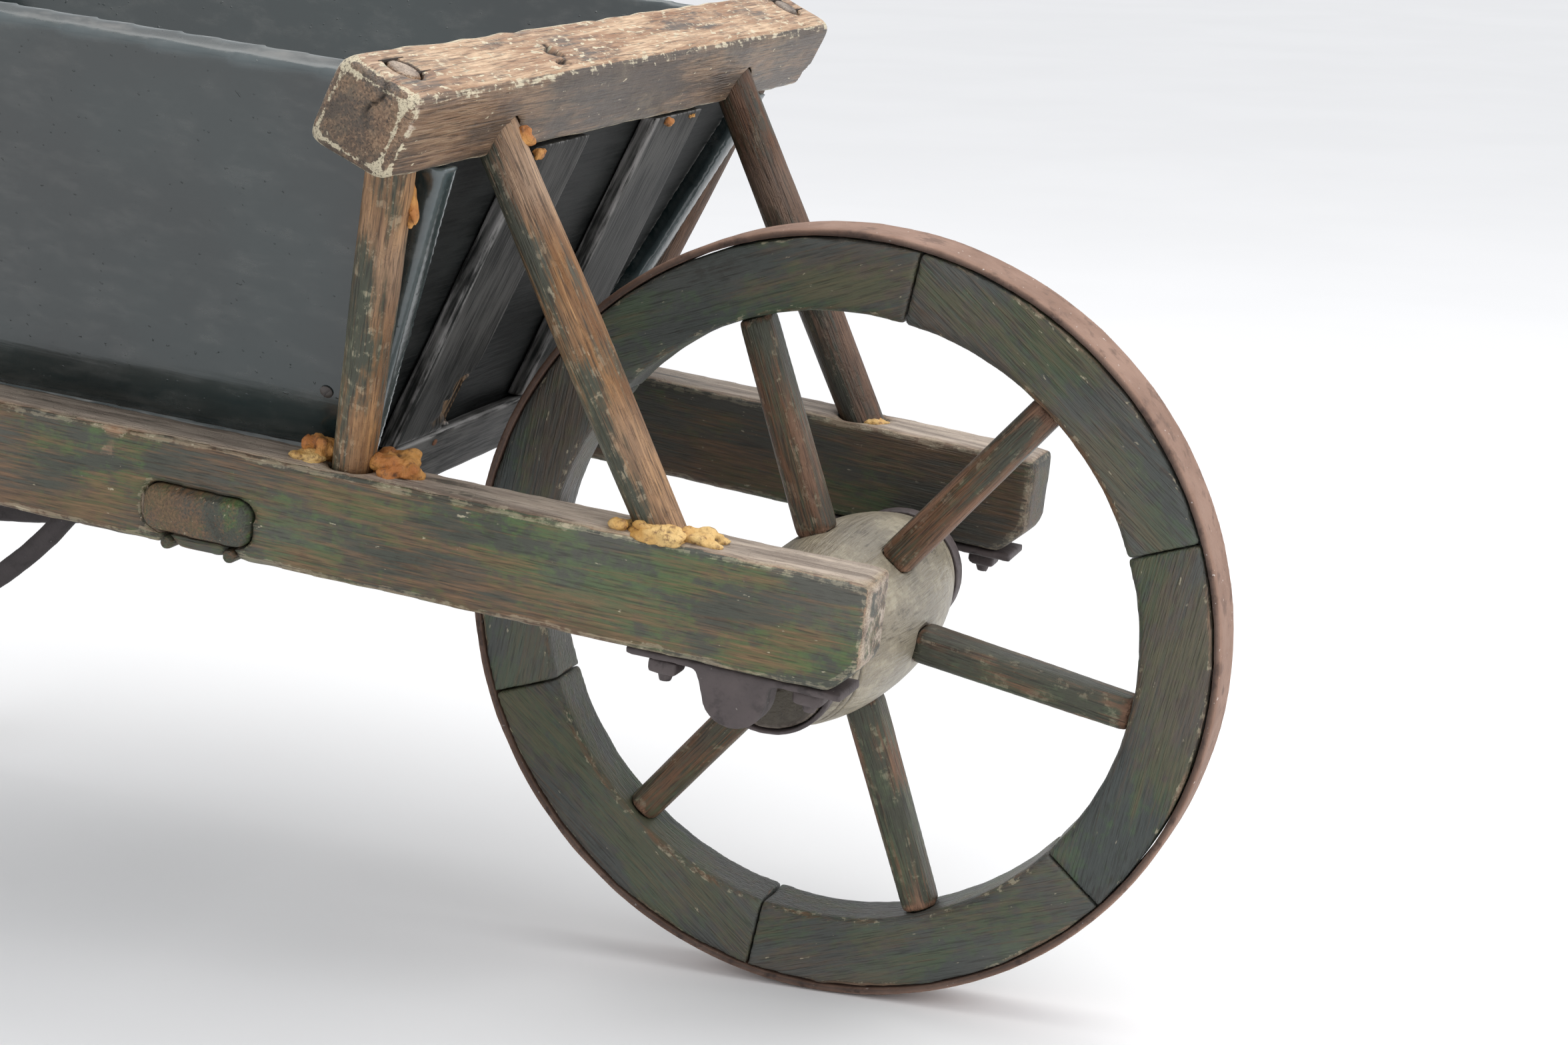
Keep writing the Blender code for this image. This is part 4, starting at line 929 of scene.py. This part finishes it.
def make_materials():
    return {
        "shaft": old_paint(
            "shaft_paint",
            coat=((0.060, 0.065, 0.050), (0.078, 0.132, 0.045)),
            wood=((0.120, 0.068, 0.038), (0.34, 0.19, 0.100)),
            cover=0.97, cream=0.6, thin=0.80, haze=0.55, arris=0.25, open_grain=0.4,
        ),
        "rail": old_paint(
            "rail_paint",
            coat=((0.075, 0.052, 0.036), (0.13, 0.10, 0.066)),
            wood=((0.26, 0.125, 0.060), (0.66, 0.47, 0.30)),
            cover=0.88, cream=0.9, thin=0.5, haze=0.4, gloss=0.34, arris=0.85, flecks=0.17,
        ),
        "spindle": old_paint(
            "spindle_paint",
            coat=((0.050, 0.055, 0.036), (0.095, 0.105, 0.065)),
            wood=((0.140, 0.062, 0.023), (0.40, 0.21, 0.082)),
            cover=0.78, cream=0.4, thin=0.8, haze=0.3, gloss=0.38,
        ),
        "felloe": old_paint(
            "felloe_paint",
            coat=((0.050, 0.058, 0.054), (0.055, 0.086, 0.048)),
            wood=((0.090, 0.052, 0.032), (0.23, 0.130, 0.070)),
            cover=0.98, cream=0.4, thin=0.38, haze=0.6, gloss=0.38, open_grain=0.4,
        ),
        "spoke": old_paint(
            "spoke_paint",
            coat=((0.056, 0.058, 0.040), (0.072, 0.094, 0.052)),
            wood=((0.098, 0.042, 0.020), (0.23, 0.105, 0.050)),
            cover=0.80, cream=0.2, thin=0.9, haze=0.05, gloss=0.38,
        ),
        "nave": old_paint(
            "nave_paint",
            coat=((0.26, 0.225, 0.165), (0.40, 0.355, 0.26)),
            wood=((0.13, 0.085, 0.05), (0.30, 0.22, 0.14)),
            cover=1.00, cream=0.3, thin=0.25, haze=0.2, gloss=0.32, open_grain=0.12,
        ),
        "tray": tray_gloss(),
        "front": front_matt_shaded(),
        "tyre": rust(
            "tyre_rust", brown=(0.165, 0.088, 0.057), pale=(0.28, 0.172, 0.125), dark=(0.075, 0.040, 0.028),
            specks=1.0, roughness=0.70,
        ),
        "iron": rust(
            "old_iron", brown=(0.050, 0.040, 0.041), pale=(0.085, 0.067, 0.066), dark=(0.022, 0.017, 0.017),
            specks=0.35, roughness=0.58,
        ),
        "stay": rust(
            "stay_iron", brown=(0.022, 0.017, 0.018), pale=(0.036, 0.028, 0.028), dark=(0.012, 0.009, 0.009),
            specks=0.2, roughness=0.62,
        ),
        "putty": old_putty("putty", deep=(0.42, 0.15, 0.035), pale=(0.60, 0.30, 0.08)),
        "foam": old_putty("foam", deep=(0.56, 0.30, 0.075), pale=(0.74, 0.50, 0.20)),
        "wedge": mottled("wedge", (0.050, 0.034, 0.024), 0.8),
        "screw": mottled("screw", (0.06, 0.05, 0.045), 0.45),
        "rusty_nail": mottled("rusty_nail", (0.16, 0.07, 0.035), 0.8),
        "dowel": mottled("dowel", (0.30, 0.20, 0.12), 0.7),
    }


def rail_joints():
    """Where the spindles go into the head rail, at both of its ends."""
    return [(on_side(place, sign), RAIL_MORTISE_REACH) for sign in SIDES.values() for place in RAIL_MORTISES]


def rim_joints():
    """Where the felloes meet, on both sides of the rim."""
    joints = []
    for turn in np.radians(RIM_JOINT_ANGLE + 360 / FELLOES * np.arange(FELLOES)):
        for radius in RIM_JOINT_RADII:
            x = axle.x + radius * np.cos(turn)
            z = axle.z + radius * np.sin(turn)
            joints += [((x, sign * RIM_HALF_WIDTH, z), RIM_JOINT_REACH) for sign in SIDES.values()]
    return joints


def weather_side(i, side):
    """The timbers and irons that each side has."""
    tenon = (on_side(BEARER_TENON, SIDES[side]), BEARER_TENON_REACH)
    shaft, iron, tray = (materials[name] for name in ("shaft", "iron", "tray"))
    weather(f"shaft_{side}", shaft, 0.0026, worn_shaft, 10 + i, wear_depth=0.0016, joints=[tenon])
    weather(f"leg_{side}", shaft, 0.0024, worn_leg, 14 + i, wear_depth=0.0016)
    weather(f"side_panel_{side}", tray, 0.0030, worn_board, 20 + i, **SMOOTH_BOARD)
    weather(f"front_batten_{side}", materials["front"], 0.0018, worn_batten, 24 + i,
            rounding=1, wear_depth=0.0006, dents=0.0002)
    weather(f"bearing_bracket_{side}", iron, 0.0016, worn_iron, 28 + i)
    weather(f"leg_stay_{side}", materials["stay"], 0.0018, worn_iron, 32 + i)
    weather(f"nave_hoop_{side}", iron, 0.0010, worn_iron, 36 + i, dents=0.0001)
    weather(f"stay_bolt_{side}", iron, 0.0008, worn_iron, 38 + i, dents=0.0001)
    weather(f"floor_board_{side}", tray, 0.0034, worn_board, 42 + i)
    # painted shade: the far spindles take the darker spoke paint
    spindle = materials["spindle" if side == "right" else "spoke"]
    for j, end in enumerate(("front", "rear"), start=2 * i):
        weather(f"spindle_{end}_{side}", spindle, 0.0018, worn_spindle, 50 + j)
        weather(f"bracket_bolt_{end}_{side}", iron, 0.0010, worn_iron, 60 + j, dents=0.0001)
        weather(f"bearer_peg_{end}_{side}", materials["spoke"], 0.0008, worn_bearer, 70 + j)


def weather_spoked_rim():
    joints = rim_joints()
    for i in range(1, FELLOES + 1):
        weather(f"felloe_{i}", materials["felloe"], 0.0020, worn_felloe, 90 + i,
                rounding=1, wear_depth=0.0012, joints=joints)
        weather(f"spoke_{i}", materials["spoke"], 0.0018, worn_spoke, 100 + i)


def weather_middle():
    """The pieces that lie across the barrow, and the rest of the wheel."""
    for i, place in enumerate(("front", "middle", "rear")):
        weather(f"cross_bearer_{place}", materials["shaft"], 0.0026, worn_bearer, 80 + i)
    weather_spoked_rim()
    weather("head_rail", materials["rail"], 0.0020, worn_rail, 3,
            wear_depth=0.0026, dents=0.0006, joints=rail_joints())
    weather("nave", materials["nave"], 0.0022, worn_nave, 4)
    weather("tyre", materials["tyre"], 0.0019, worn_tyre, 5, wear_depth=0.0006, dents=0.0004)
    weather("axle", materials["iron"], 0.0016, worn_iron, 6, wear_depth=0.0, dents=0.0001)
    weather("front_board", materials["front"], 0.0030, worn_board, 7, **SMOOTH_BOARD)
    weather("toe_board", materials["front"], 0.0018, worn_toe, 8, rounding=1, wear_depth=0.0008)
    weather("floor_board_middle", materials["tray"], 0.0034, worn_board, 44)
    weather("tail_board", materials["tray"], 0.0030, worn_board, 9, **SMOOTH_BOARD)


def colour_dowels():
    """The dowels are hidden in the rim, so they keep the solids of the model."""
    for i in range(1, FELLOES + 1):
        frame["nodes"][f"felloe_dowel_{i}"].material_slots[0].material = materials["dowel"]


def add_fixings():
    """The wedges, the screws in the side panels and the nails in the toe board."""
    for side, sign in SIDES.items():
        for name, (across, along), size in WEDGES:
            shift = across * Vector(RAIL_NORMALS["front"]) + Vector((0, along, 0))
            wedge(f"wedge_{name}_{side}", Vector(on_side(RAIL_TENON, sign)) + shift, size, materials["wedge"])
        outward = (0, sign * np.cos(PANEL_FLARE), -np.sin(PANEL_FLARE))
        place = on_side(SCREW_PLACE, sign)
        fastener(f"screw_{side}", place, outward, SCREW_RADIUS, materials["screw"], slotted=True)
    x, z = NAIL_LINE
    for i, y in enumerate(NAIL_PLACES, start=1):
        fastener(f"toe_nail_{i}", (x, y, z), RAIL_NORMALS["front"], NAIL_RADIUS, materials["rusty_nail"])


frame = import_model()
axle = Vector(frame["joints"][0]["pos_m"])
rail_middle = box_middle("head_rail")
materials = make_materials()

for number, side_name in enumerate(SIDES):
    weather_side(number, side_name)
weather_middle()
colour_dowels()
for lump in PUTTY:
    blob(*lump, materials["putty"])
for lump in FOAM:
    blob(*lump, materials["foam"])
add_fixings()

build_floor()
build_lights()
build_camera()
